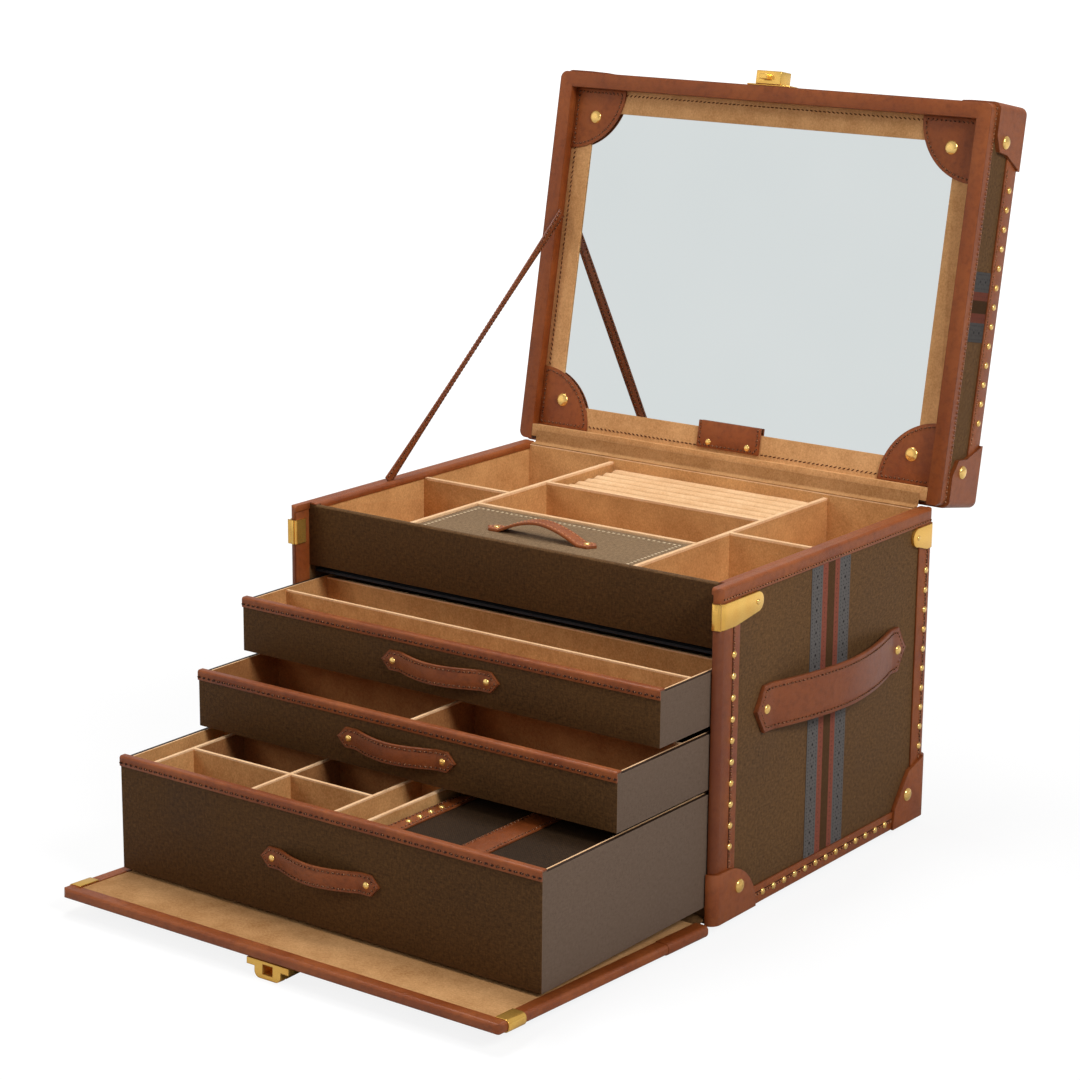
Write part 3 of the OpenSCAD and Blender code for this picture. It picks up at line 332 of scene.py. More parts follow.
hide = tan_hide("tan_leather", ink(74, 31, 9), ink(135, 65, 25), ink(158, 85, 39))
strap_hide = tan_hide("strap_leather", ink(74, 33, 12), ink(124, 60, 25), ink(142, 75, 36))
pull_hide = tan_hide("pull_leather", ink(58, 24, 8), ink(126, 61, 24), ink(150, 80, 37), 0.00022)
edging_hide_painted_shade = tan_hide("edging_leather_painted_shade", ink(82, 31, 3), ink(138, 64, 20), ink(158, 84, 34),
                       front=at_case(0, 0, 0).y)
print("leather:", hide.name, strap_hide.name, pull_hide.name, edging_hide_painted_shade.name)

# %% [markdown]
# ## Suede
# Suede has a nap that lies differently from patch to patch, so it shows soft light and
# dark areas and no shine. The folded tops of the dividers look paler, as a painted
# highlight. The suede deep in the two lower drawers is painted darker, as painted shade.
# Paler copies for the lid's frame and the linings inside are painted light, and the
# folds between the ring rolls get painted shade.


# %% Suede
def napped_suede(name, dark, pale, groove_shade_top=None):
    """The last argument gives the height, in metres, under which the folds between pads get painted shade."""
    suede = Finish(name, 0.93, Sheen_Weight=0.12, Sheen_Roughness=0.5, Sheen_Tint=ink(236, 200, 150),
                   Specular_IOR_Level=0.08)
    nap, brushed = suede.cloud(42, 4, 0.7), suede.cloud(9, 2, 0.5)
    fibres = suede.cloud(1.0, 3, 0.7, suede.turned(suede.place, scale=(1500, 1150, 800)))
    hairs = suede.cloud(620, 4, 0.75)
    share = suede.maths("ADD", suede.spread(nap, 0.34, 0.66, 0.0, 0.42),
                        suede.spread(fibres, 0.36, 0.64, 0.0, 0.32))
    share = suede.maths("ADD", share, suede.spread(hairs, 0.38, 0.62, -0.08, 0.22))
    share = suede.maths("ADD", share, suede.spread(brushed, 0.35, 0.65, -0.08, 0.12))
    colour = suede.blend(suede.spread(share, 0.0, 1.0), dark, pale)
    # Painted shade: the folds between the pads are darkened below the given height.
    if groove_shade_top is not None:
        up = suede.axes(suede.place)[2]
        colour = suede.blend(suede.spread(up, groove_shade_top - 0.0022, groove_shade_top, 0.75, 0.0), colour, ink(132, 88, 48))
    normal = suede.relief(suede.maths("ADD", fibres, suede.maths("MULTIPLY", hairs, 0.7)), 0.00022, 0.55)
    return suede.done(colour, normal)


suede = napped_suede("beige_suede", ink(156, 109, 64), ink(208, 160, 109))
# Paler copies for the lid's frame and the linings inside: painted light.
lid_suede_painted_light = napped_suede("lid_suede_painted_light", ink(184, 131, 80), ink(233, 180, 125))
inner_suede_painted_light = napped_suede("inner_suede_painted_light", ink(174, 122, 72), ink(226, 173, 114))
# A darker copy deep in the two lower drawers: painted shade.
painted_shade_suede = napped_suede("painted_shade_suede", ink(136, 84, 46), ink(186, 130, 80))
# A paler copy for the folded tops: painted highlight.
fold_suede_painted_highlight = napped_suede("fold_suede_painted_highlight", ink(222, 173, 126), ink(250, 212, 168))
# The ring rolls' suede gets painted shade in the folds between the pads.
roll_suede = napped_suede("ring_roll_suede", ink(214, 166, 118), ink(244, 204, 158), at_case(0, 0, 200.6).z)
print("suede:", [kind.name for kind in (suede, lid_suede_painted_light, inner_suede_painted_light, painted_shade_suede, fold_suede_painted_highlight)],
      roll_suede.name)

# %% [markdown]
# ## Brass, glass and the small finishes
# The brass is polished but handled, so its roughness wanders a little. Studs and rivets
# are a paler brass than the plates. The mirror is a nearly perfect metal. Threads,
# painted edges and the dark shelf board are simple finishes with a little grain. The
# shelf board is painted dark as painted shade, and the swell beside each stitch is
# painted pale as a painted highlight.


# %% Brass, mirror, thread and boards
def polished_brass(name, deep, bright):
    brass = Finish(name, 0.2, Metallic=0.76)
    clouds = brass.cloud(60, 2)
    marks = brass.cloud(1.0, 2, 0.5, brass.turned(brass.place, scale=(300, 2400, 2400)))
    colour = brass.blend(brass.spread(clouds, 0.3, 0.7), deep, bright)
    colour = brass.blend(brass.maths("MULTIPLY", brass.edge(0.001), 0.7), colour, ink(132, 82, 26))
    rough = brass.maths("ADD", brass.spread(clouds, 0.3, 0.7, 0.17, 0.21),
                        brass.maths("MULTIPLY", marks, 0.05))
    return brass.done(colour, brass.relief(marks, 0.00002, 0.3), rough)


def silvered_glass():
    glass = Finish("silvered_glass", 0.015, Metallic=1.0)
    haze = glass.cloud(9, 2)
    return glass.done(glass.blend(haze, ink(211, 217, 217), ink(216, 221, 221)))


def plain_grain(name, dark, pale, scale=900, rough=0.8, depth=0.0001):
    grain = Finish(name, rough, Specular_IOR_Level=0.3)
    clouds, fine = grain.cloud(scale / 12, 3), grain.cloud(scale, 3, 0.65)
    share = grain.spread(grain.maths("ADD", clouds, fine), 0.7, 1.3)
    return grain.done(grain.blend(share, dark, pale), grain.relief(fine, depth, 0.5))


brass = polished_brass("polished_brass", ink(246, 188, 88), ink(252, 204, 106))
stud_brass = polished_brass("stud_brass", ink(250, 199, 110), ink(255, 214, 132))
mirror = silvered_glass()
dark_thread = plain_grain("brown_thread", ink(36, 14, 5), ink(60, 27, 11), 2500)
red_thread = plain_grain("russet_thread", ink(64, 28, 10), ink(98, 50, 23), 2500)
# Paler than the hide, as a painted highlight on each swell between stitches; also the pale thread of the fine
# seams.
pale_thread_and_highlit_swell = plain_grain("pale_thread_and_painted_highlight_swell", ink(184, 118, 78), ink(220, 158, 116), 2500)
pale_thread = plain_grain("pale_thread", ink(196, 172, 138), ink(232, 212, 180), 2500)
painted_edge = plain_grain("painted_edge", ink(38, 25, 17), ink(58, 40, 28), 500, 0.55)
# The shelf board is painted dark: painted shade in the gap under the tray.
shelf_board_painted_shade = plain_grain("dark_shelf_board_painted_shade", ink(38, 40, 44), ink(54, 56, 60), 600, 0.85)
# Dark dots for the pierced holes: painted shade inside them.
pierced = plain_grain("hole_dots_painted_shade", ink(30, 26, 26), ink(46, 40, 40), 900)
print("small finishes:", brass.name, mirror.name, shelf_board_painted_shade.name)

# %% [markdown]
# ## Woven stripes
# A striped ribbon is laid down the middle of each side: blue-grey, red, canvas, red and
# blue-grey again. A colour ramp with hard stops turns one measure across the ribbon into
# the five bands, and the weave above gives its threads.

# %% Stripe finish
RIBBON_W = 45.5
CASE_RIBBON, LID_RIBBON = 102.75, 107.25    # where it starts, from the case's front and the hinge
BANDS = ((0, ink(108, 103, 100)), (12.5, ink(148, 83, 66)), (18.5, ink(90, 62, 38)),
         (27, ink(148, 83, 66)), (32.5, ink(108, 103, 100)))


def striped_ribbon(name, origin, direction, tilt=0.0, light=1.0):
    ribbon = Finish(name, 0.8, Specular_IOR_Level=0.1)
    offset = ribbon.add("ShaderNodeVectorMath", {0: ribbon.place, 1: origin}, operation="SUBTRACT")
    across = ribbon.add("ShaderNodeVectorMath", {0: offset, 1: direction}, out="Value",
                        operation="DOT_PRODUCT")
    ramp = ribbon.nodes.new("ShaderNodeValToRGB")
    ramp.color_ramp.interpolation = "CONSTANT"
    while len(ramp.color_ramp.elements) < len(BANDS):
        ramp.color_ramp.elements.new(0.99)
    for element, (start, colour) in zip(ramp.color_ramp.elements, BANDS):
        element.position, element.color = start / RIBBON_W, colour
    ribbon.wire(ramp.inputs[0], ribbon.maths("DIVIDE", across, RIBBON_W * MM))
    height, tone = weave(ribbon, *flat_on_face(ribbon, tilt), 0.0009)
    shade = ribbon.maths("ADD", ribbon.maths("MULTIPLY", height, 0.3),
                         ribbon.maths("MULTIPLY_ADD", tone, 0.9, 0.25))
    # Painted shade: the light factor darkens the whole ribbon where it is given below one.
    shade = ribbon.maths("MULTIPLY", shade, light)
    grey = ribbon.joined(shade, shade, shade)
    colour = ribbon.add("ShaderNodeMix", {0: 1.0, 6: ramp.outputs[0], 7: grey}, out=2,
                        data_type="RGBA", blend_type="MULTIPLY")
    return ribbon.done(colour, ribbon.relief(height, 0.00015, 0.7))


lid_up = (at_lid(0, 1, 0) - at_lid(0, 0, 0)).normalized()
case_stripes = striped_ribbon("case_ribbon", at_case(0, CASE_RIBBON, 0), (0, 1, 0))
# The lid's ribbon is darkened to 0.62: painted shade on the lid's side.
lid_stripes = striped_ribbon("lid_ribbon", at_lid(0, LID_RIBBON, 0), lid_up, LID_LEAN, light=0.62)
print("ribbons:", case_stripes.name, lid_stripes.name)

# %% [markdown]
# ## A small kit for meshes
# A strap, a roll and a hinge strip are each a section carried along a line: rings of
# points, faces between the rings and a cap at both ends. These helpers do that once for
# all of them.


# %% Mesh kit
def mesh_of(name, vertices, faces, edges=()):
    mesh = bpy.data.meshes.new(name)
    mesh.from_pydata(vertices, edges, faces)
    return mesh


def faced_out(mesh):
    """Turns the faces of a closed mesh outward."""
    bm = bmesh.new()
    bm.from_mesh(mesh)
    bmesh.ops.recalc_face_normals(bm, faces=bm.faces)
    bm.to_mesh(mesh)
    bm.free()
    return mesh


def tube(rows, n):
    """The faces between rows + 1 rings of n points."""
    return [(i * n + j, i * n + (j + 1) % n, (i + 1) * n + (j + 1) % n, (i + 1) * n + j)
            for i in range(rows) for j in range(n)]


def caps(rows, n):
    return [tuple(range(n)), tuple(reversed(range(rows * n, (rows + 1) * n)))]


print("mesh kit ready")

# %% [markdown]
# ## Rounded boards and skins
# No covered board has a knife edge: cloth or leather turns over it in a small radius
# that catches the light. Each CAD solid is copied, its loose triangles are merged, and a
# Bevel modifier rounds every edge sharper than a set angle. A first Bevel, limited by
# weight, gives the folded edges a fuller round. Crossing boards are first cut along
# their walls, so that the rounding meets plain strips, and faces that it folds to
# nothing are taken out. The copy then stands for the solid. Another way is to model each
# board again, but the copy keeps the true size.


# %% Rounded copies of the CAD solids
def wall_planes(bm):
    """The planes of all upright walls. Cut there, the tops of crossing boards are plain strips."""
    spots = {(axis, round(f.calc_center_median()[axis], 6)) for f in bm.faces for axis in (0, 1)
             if abs(f.normal[axis]) > 0.999}
    along = Vector((1, 0, 0)), Vector((0, 1, 0))
    return [(along[axis] * spot, along[axis]) for axis, spot in sorted(spots)]


def merged_mesh(node, cuts, walls):
    """One closed mesh from a node's triangles, cut where a finish or a wall has to change."""
    source = frame["nodes"][node].data
    bm = bmesh.new()
    bm.from_mesh(source)
    bmesh.ops.remove_doubles(bm, verts=bm.verts, dist=2e-6)
    for place, direction in list(cuts) + (wall_planes(bm) if walls else []):
        cut = bmesh.ops.bisect_plane(bm, geom=bm.verts[:] + bm.edges[:] + bm.faces[:], dist=2e-6,
                                     plane_co=place, plane_no=direction)
        for part in cut["geom_cut"]:
            if isinstance(part, bmesh.types.BMEdge):
                part.seam = True
    bmesh.ops.dissolve_limit(bm, angle_limit=math.radians(0.6), verts=bm.verts, edges=bm.edges,
                             delimit={"SEAM"})
    bm.verts.index_update()
    vertices = [v.co[:] for v in bm.verts]
    faces = [[v.index for v in f.verts] for f in bm.faces]
    bm.free()
    return mesh_of(node, vertices, faces)


def weigh_folds(mesh, folded):
    """Marks the edges that the test calls folded, for the fuller of the two roundings."""
    bm = bmesh.new()
    bm.from_mesh(mesh)
    layer = bm.edges.layers.float.new("bevel_weight_edge")
    for edge in bm.edges:
        if len(edge.link_faces) == 2 and edge.calc_face_angle(0) > 0.5:
            a, b = edge.verts[0].co / MM, edge.verts[1].co / MM
            edge[layer] = float(folded((a + b) / 2, b - a))
    bm.to_mesh(mesh)
    bm.free()


def shown(name, mesh):
    piece = bpy.data.objects.new(name, mesh)
    bpy.context.scene.collection.objects.link(piece)
    return piece


def settled(piece):
    """Applies the piece's modifiers, so that what rides on its body is a plain mesh."""
    view = bpy.context.evaluated_depsgraph_get()
    view.update()
    mesh = bpy.data.meshes.new_from_object(piece.evaluated_get(view))
    piece.modifiers.clear()
    piece.data = mesh
    return piece


def cleaned(piece):
    """Takes out faces that the rounding has folded to nothing, and joins the slits they leave."""
    bm = bmesh.new()
    bm.from_mesh(piece.data)
    folded = [f for f in bm.faces if len(f.verts) > 20 and f.calc_area() < 1e-7]
    if folded:
        bmesh.ops.delete(bm, geom=folded, context="FACES_ONLY")
        bmesh.ops.remove_doubles(bm, verts=bm.verts, dist=2e-5)
    bmesh.ops.dissolve_degenerate(bm, dist=2e-5, edges=bm.edges)
    bm.to_mesh(piece.data)
    bm.free()
    return piece


def smooth(piece, angle=32):
    piece.data.shade_smooth()
    piece.data.set_sharp_from_angle(angle=math.radians(angle))
    return piece


def dressed(piece, node_or_body, slot, *finishes, pick=None):
    """Gives the piece its finishes, and its body by name or by the node it stands for."""
    piece.data.materials.clear()
    for finish in finishes:
        piece.data.materials.append(finish)
    for face in piece.data.polygons:
        face.material_index = pick(face.center / MM, face.normal) if pick else 0
    if node_or_body in frame["nodes"]:
        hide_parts(node_or_body)
    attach(piece, BODY_OF.get(node_or_body, node_or_body))
    return piece


def rounded(node, radius, slot, *finishes, pick=None, segments=2, fold=0, folded=None, cuts=(), walls=False):
    piece = shown(node + "_rounded", merged_mesh(node, cuts, walls))
    if fold:
        weigh_folds(piece.data, folded)
        roll = piece.modifiers.new("folds", "BEVEL")
        roll.width, roll.segments, roll.limit_method = fold * MM, 4, "WEIGHT"
        roll.use_clamp_overlap = False
    bevel = piece.modifiers.new("edges", "BEVEL")
    bevel.width, bevel.segments = radius * MM, segments
    bevel.limit_method, bevel.angle_limit = "ANGLE", math.radians(30)
    bevel.miter_outer = "MITER_ARC"
    smooth(cleaned(settled(piece)))
    return dressed(piece, node, slot, *finishes, pick=pick)


def lengthwise(mid, along):
    """The long top edges of the tray's front panel, which the cloth rolls over."""
    return abs(along.x) > 250 and mid.z > 205 + FOOT_H


def turned_in(centre, normal):
    """The leather of the front edge is turned in over the inner face of a side wall."""
    x, y, z = case_measure(centre)
    return int(y < 13.2 and abs(x) < 164)


for node in ("left_wall", "right_wall"):
    rounded(node, 0.3, "board", canvas, hide, pick=turned_in, cuts=[(at_case(0, 13, 0), (0, 1, 0))])
for node in ("base_board", "back_wall"):
    rounded(node, 0.5, "board", canvas)
rounded("shelves", 0.3, "board", shelf_board_painted_shade)
# The tray front's top faces keep the plain canvas and its front the darker copy: painted shade on the front.
rounded("tray_front", 0.4, "board", front_canvas_painted_shade, canvas, fold=1.6, folded=lengthwise,
        pick=lambda centre, normal: int(normal.z > 0.45))
rounded("feet", 0.5, "brass", brass)
rounded("flap_board", 0.4, "board", canvas)
rounded("lid_shell", 0.6, "board", lid_canvas)
rounded("case_stripes", 0.12, "webbing", case_stripes)
rounded("lid_stripes", 0.12, "webbing", lid_stripes)
print("boards rounded")

# %% [markdown]
# ## Drawer boxes
# A drawer's front is covered in the case's canvas, painted darker there as painted shade,
# while its sides have a smoother, greyer cloth and a dark painted top edge. One mesh
# carries all three, and the direction of each face picks its finish.


# %% Drawer boxes
def drawer_finish(centre, normal):
    if normal.z > 0.7:
        return 2
    return 1 if abs(normal.x) > 0.7 else 0


for k in DRAWERS:
    rounded(f"drawer_{k}_box", 0.4, "board", front_canvas_painted_shade, drawer_side_cloth, painted_edge,
            pick=drawer_finish)
rounded("travel_case", 0.4, "canvas", travel_canvas_painted_shade)
rounded("tray_lid", 0.5, "board", tray_canvas_painted_sheen)
print("drawer boxes dressed")

# %% [markdown]
# ## Leather skins
# Bindings, edgings, bands and patches are strips of hide about a millimetre thick. Their
# cut edges are skived thin, so their radius is less than half of the strip's thickness.
# Where a strip is folded round a board, the fold is much fuller.


# %% Leather skins
def folds(body):
    """Tests for the edges where a strip on this body is folded round its board."""
    def on_case(mid, along):
        x, y, z = case_measure(mid)
        upright, level = abs(along.z) > 12 and along.xy.length < 1, abs(along.y) > 60
        return (upright and y < 0.3 and abs(x) > 165.5) or (level and z > 208.6)

    def on_lid(mid, along):
        x, u, v = lid_measure(mid)
        return along.length > 25 and (abs(x) > 167.5 or u > 257.5) and v < 0.6

    def on_flap(mid, along):
        x, y, z = case_measure(mid)
        return along.length > 60 and (abs(x) > 166.4 or y < -211)

    def on_drawer(mid, along):
        return abs(along.x) > 200 and case_measure(mid)[2] > top - 0.3

    return {"case": on_case, "lid": on_lid, "flap": on_flap}.get(body, on_drawer)


SKINS = (  # node, radius of its cut edges and radius of its folds, in millimetres
    ("top_bindings", 0.35, 2.4), ("side_edgings", 0.35, 2.7), ("bottom_bands", 0.4, 0),
    ("corner_patches", 0.5, 3.2), ("lid_bindings", 0.35, 2.3), ("lid_corner_patches", 0.5, 2.6),
    ("mirror_corners", 0.4, 0), ("lid_tab", 0.5, 0), ("flap_binding", 0.3, 2.2),
    ("travel_case_straps", 0.4, 0))
OTHER_HIDES = {"side_edgings": edging_hide_painted_shade, "travel_case_straps": pull_hide}
for node, radius, fold in SKINS:
    rounded(node, radius, "hide", OTHER_HIDES.get(node, hide), fold=fold, folded=folds(BODY_OF[node]))
for k, (out, level, height) in DRAWERS.items():
    top = level + height
    rounded(f"drawer_{k}_binding", 0.3, "hide", hide, fold=1.3, folded=folds(f"drawer_{k}"))
print("leather skins rounded")

# %% [markdown]
# ## Suede linings and dividers
# The dividers are card wrapped in suede, so their top folds are soft; a painted highlight
# makes them paler than the walls. The tops are picked by height, since the floors also look up.


# %% Suede linings
def paler_above(level, front, back):
    """The fold of a divider takes the painted highlight all round, that of the wall's lining only on top."""
    def pick(centre, normal):
        x, y, z = case_measure(centre)
        divider = abs(x) < 154 and front < y < back
        return int(z > level and (divider or normal.z > 0.25))
    return pick


def level_cut(level):
    return [(at_case(0, 0, level), (0, 0, 1))]


REAR_CELLS = (-141, 3, 44, 90)    # left, right, front and rear of drawer 3's deeper cells


def insert_finish(k, out, fold):
    """The suede deep in the two lower drawers is painted darker, as painted shade: all of drawer 2's, and
    drawer 3's rear cells.
    """
    above = paler_above(fold, 9 - out, 205 - out)
    left, right, front, rear = REAR_CELLS

    def pick(centre, normal):
        x, y, _ = case_measure(centre)
        in_rear_cells = k == 3 and left < x < right and front < y + out < rear
        return above(centre, normal) or 2 * int(k == 2 or in_rear_cells)
    return pick


rounded("tray_lining", 0.7, "suede_board", inner_suede_painted_light, fold_suede_painted_highlight, pick=paler_above(204.8, 999, 999))
rounded("tray_dividers", 1.2, "suede_board", inner_suede_painted_light, fold_suede_painted_highlight, pick=paler_above(204, 20, 243),
        cuts=level_cut(204), walls=True)
for k, (out, level, height) in DRAWERS.items():
    fold = level + height - 4
    rounded(f"drawer_{k}_insert", 0.8, "suede_board", inner_suede_painted_light, fold_suede_painted_highlight, painted_shade_suede,
            pick=insert_finish(k, out, fold), cuts=level_cut(fold), walls=True)
rounded("flap_lining", 0.3, "suede", suede)
rounded("mirror_frame", 0.9, "suede_board", lid_suede_painted_light)
print("linings rounded")

# %% [markdown]
# ## Brass plates, lock and latch
# The corner brackets, the flap's clips, the lock on the lid and the latch on the flap are
# pressed brass with slightly broken edges.

# %% Brass plates
rounded("corner_brackets", 0.25, "brass", brass, fold=2.6, folded=folds("case"))
for node, radius in (("flap_clips", 0.3), ("lid_lock", 0.5), ("latch_box", 0.5), ("latch_button", 0.4)):
    rounded(node, radius, "brass", brass, segments=3)


def bracket_returns():
    """The front brackets go round the wall's edge and end on its inner face."""
    def outer_fold(mid, along):
        x, y, z = case_measure(mid)
        return y < 0 and abs(x) < 160 and abs(along.z) > 10

    outline = [(159.6, 8.4), (159.6, -1.2), (166.7, -1.2), (166.7, -0.5), (161.1, -0.5), (161.1, 8.4)]
    bm = bmesh.new()
    for s in (-1, 1):
        foot, top = [[bm.verts.new(at_case(s * x, y, z)) for x, y in outline] for z in (183.6, 199.6)]
        for i in range(6):
            j = (i + 1) % 6
            bm.faces.new((foot[i], foot[j], top[j], top[i]))
        bm.faces.new(foot)
        bm.faces.new(top)
    bmesh.ops.recalc_face_normals(bm, faces=bm.faces)
    mesh = bpy.data.meshes.new("bracket_returns")
    bm.to_mesh(mesh)
    bm.free()
    weigh_folds(mesh, outer_fold)
    piece = shown("bracket_returns", mesh)
    bevel = piece.modifiers.new("folds", "BEVEL")
    bevel.width, bevel.segments, bevel.limit_method = 1.5 * MM, 4, "WEIGHT"
    settled(piece).data.materials.append(brass)
    smooth(piece)
    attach(piece, "case")


bracket_returns()
glass = frame["nodes"]["mirror_glass"]
glass.data.materials.clear()
glass.data.materials.append(mirror)
print("brass plates and mirror dressed")

# %% [markdown]
# ## Straps
# The side handles, the drawer pulls and the tray lid's handle are cut from thick hide
# with pointed ends, creased along the edges and bowed so that fingers pass under them.
# A section with a crowned top and a crease is swept along the bow. Sweeping a drawn
# section keeps the crease even, which a bevelled box could not do.

# %% Strap kit
threads = {}


def sew(body, kind, points, closed=False):
    """Keeps a seam for the stitching step: points in the frame, in metres."""
    threads.setdefault((body, kind), []).append((list(points), closed))


def strap_section(crease):
    """Half widths from -1 to 1 and thickness from 0 to 1, once round the strap."""
    top = [(-1.0, 0.3), (-1.0, 0.62), (-0.985, 0.84), (-0.95, 0.97), (-crease, 0.9),
           (2 * -crease + 0.95, 1.0), (-0.35, 1.06), (0.0, 1.08)]
    underside = [(0.97, 0.04), (0.5, 0.0), (-0.5, 0.0), (-0.97, 0.04)]
    return top + [(-w, t) for w, t in reversed(top[:-1])] + underside


class Strap:
    def __init__(self, span, bow, thick, width, end, point, margin):
        self.thick, self.half, self.point, self.margin = thick, width / 2, point, margin
        self.reach, self.bow = span / 2 + end, bow
        self.rise = span / 2 - 0.55 * end

    def lift(self, a):
        """A low arch that starts from its riveted ends with a short soft bend."""
        t = max(0.0, 1 - abs(a / self.rise) ** 1.8)
        return self.bow * 1.1 * t * t / (t + 0.1)

    def lean(self, a):
        slope = (self.lift(a + 0.2) - self.lift(a - 0.2)) / 0.4
        return Vector((-slope, 1.0)).normalized()

    def width_at(self, a):
        return self.half * min(1.0, max(0.045, (self.reach - abs(a)) / self.point))

    def on(self, a, share, w):
        """Along, outward and sideways measures of a point at a share of the thickness."""
        n = self.lean(a)
        return a + n[0] * self.thick * share, self.lift(a) + n[1] * self.thick * share, w

    def mesh(self, name, place, rings=56):
        inner = self.reach - self.point
        stops = [-self.reach, -self.reach + 0.5] + [-self.reach + self.point * s for s in (0.33, 0.66, 0.95)]
        middle = [inner * (2 * i / rings - 1) for i in range(rings + 1)]
        stops = stops + middle + [-s for s in reversed(stops)]
        section = strap_section(1 - self.margin / self.half)
        rows, n = len(stops) - 1, len(section)
        vertices = [place(*self.on(a, t, s * self.width_at(a))) for a in stops for s, t in section]
        return faced_out(mesh_of(name, vertices, tube(rows, n) + caps(rows, n)))

    def seam(self, place):
        """The stitch line, once round the strap, a margin inside its edge."""
        inset = self.margin * math.hypot(1, self.half / self.point)
        tip = self.reach - inset * self.point / self.half

        def off_middle(a):
            at_point = self.half * (self.reach - abs(a)) / self.point - inset
            return max(0.0, min(self.half - self.margin, at_point))

        side = [(tip * (1 - 2 * i / 90)) for i in range(91)]
        line = [(a, off_middle(a)) for a in side]
        loop = line + [(a, -w) for a, w in reversed(line[1:-1])]
        return [place(*self.on(a, 0.98, w)) for a, w in loop]


def add_strap(name, node, strap, places, finish, thread="strap"):
    """One piece for a node, with a strap at each place."""
    bm = bmesh.new()
    for place in places:
        bm.from_mesh(strap.mesh(name, place))
        sew(BODY_OF[node], thread, strap.seam(place), closed=True)
    mesh = bpy.data.meshes.new(name)
    bm.to_mesh(mesh)
    bm.free()
    return dressed(smooth(shown(name, mesh), 50), node, "hide", finish)


# %% Side handles, pulls and the tray lid's handle
HANDLE_Y, HANDLE_Z, HANDLE_SPAN = 128.5, 124, 157
TRAY_HANDLE_X, TRAY_HANDLE_Y, TRAY_HANDLE_SPAN = 2.25, 46, 70
handle = Strap(HANDLE_SPAN, 13, 3.2, 30, 10.5, 9, 3.0)
handle_places = [lambda a, out, w, s=s: at_case(s * (165 + out), HANDLE_Y + a, HANDLE_Z + w)
                 for s in (-1, 1)]
add_strap("side_handle_straps", "side_handles", handle, handle_places, strap_hide)
pull = Strap(72, 8.5, 2.2, 13, 9, 6, 1.9)
for k, (out, level, height) in DRAWERS.items():
    spot = at_drawer(k)
    place = lambda a, o, w, spot=spot, h=height: spot(a, -o, h / 2 - 1 + w)
    add_strap(f"pull_strap_{k}", f"drawer_{k}_pull", pull, [place], pull_hide)
tray_handle = Strap(TRAY_HANDLE_SPAN, 9, 1.8, 11, 7, 4, 1.7)
tray_place = lambda a, out, w: at_case(TRAY_HANDLE_X + a, TRAY_HANDLE_Y + w, 204.3 + out)
add_strap("tray_lid_strap", "tray_lid_handle", tray_handle, [tray_place], hide, thread="fine")

# %% [markdown]
# ## Ring rolls
# Rings are pushed between seven soft rolls: suede over foam, a little fuller in the
# middle and rounded off at both ends. Each roll is one closed form whose section is a
# tall arch. A slight wander of the surface keeps them from looking turned on a lathe.


# %% Ring rolls
ROLLS, FIRST_ROLL, ROLL_STEP, ROLL_ENDS = 7, 169.4, 10.74, (-82.1, 86.6)
ROLL_RADIUS, ROLL_TOP, ROLL_FOOT = 5.25, 201.6, 172.6


def ring_roll(x0, x1, y, radius, top, bottom, seed):
    rows, arc = 34, 12
    vertices = []
    for i in range(rows + 1):
        share = i / rows
        x = x0 + (x1 - x0) * share
        nearest = min(x - x0, x1 - x) / 7.0
        ends = 1 - 0.85 * (1 - min(1.0, nearest)) ** 2.4
        for j in range(arc + 1):
            turn = math.pi * j / arc
            swell = 0.25 * noise.noise(Vector((x * 0.06, seed * 7.1, turn)))
            r = radius * (0.72 + 0.28 * ends) + swell
            arch = r * math.sin(turn) - (1 - ends) * 3.2
            vertices.append((x, y - r * math.cos(turn), top - radius + arch))
        vertices += [(x, y + radius * 0.9, bottom), (x, y - radius * 0.9, bottom)]
    n = arc + 3
    return [at_case(*v) for v in vertices], tube(rows, n) + caps(rows, n)


def ring_rolls():
    vertices, faces = [], []
    for i in range(ROLLS):
        y = FIRST_ROLL + ROLL_STEP * (i + 0.5)
        more, sides = ring_roll(*ROLL_ENDS, y, ROLL_RADIUS, ROLL_TOP, ROLL_FOOT, i)
        faces += [tuple(v + len(vertices) for v in f) for f in sides]
        vertices += more
    return smooth(shown("ring_roll_pads", faced_out(mesh_of("ring_roll_pads", vertices, faces))), 60)


rolls = dressed(ring_rolls(), "ring_rolls", "suede", roll_suede)
print("ring rolls:", len(rolls.data.vertices), "points")

# %% [markdown]
# ## Cloth and leather across the hinges
# The lid has no metal hinge: suede inside and leather outside join it to the case, and a
# strip of cloth joins the flap. Each is a strip with a curved section, which runs from the
# case at one edge to the lid or flap at the other.


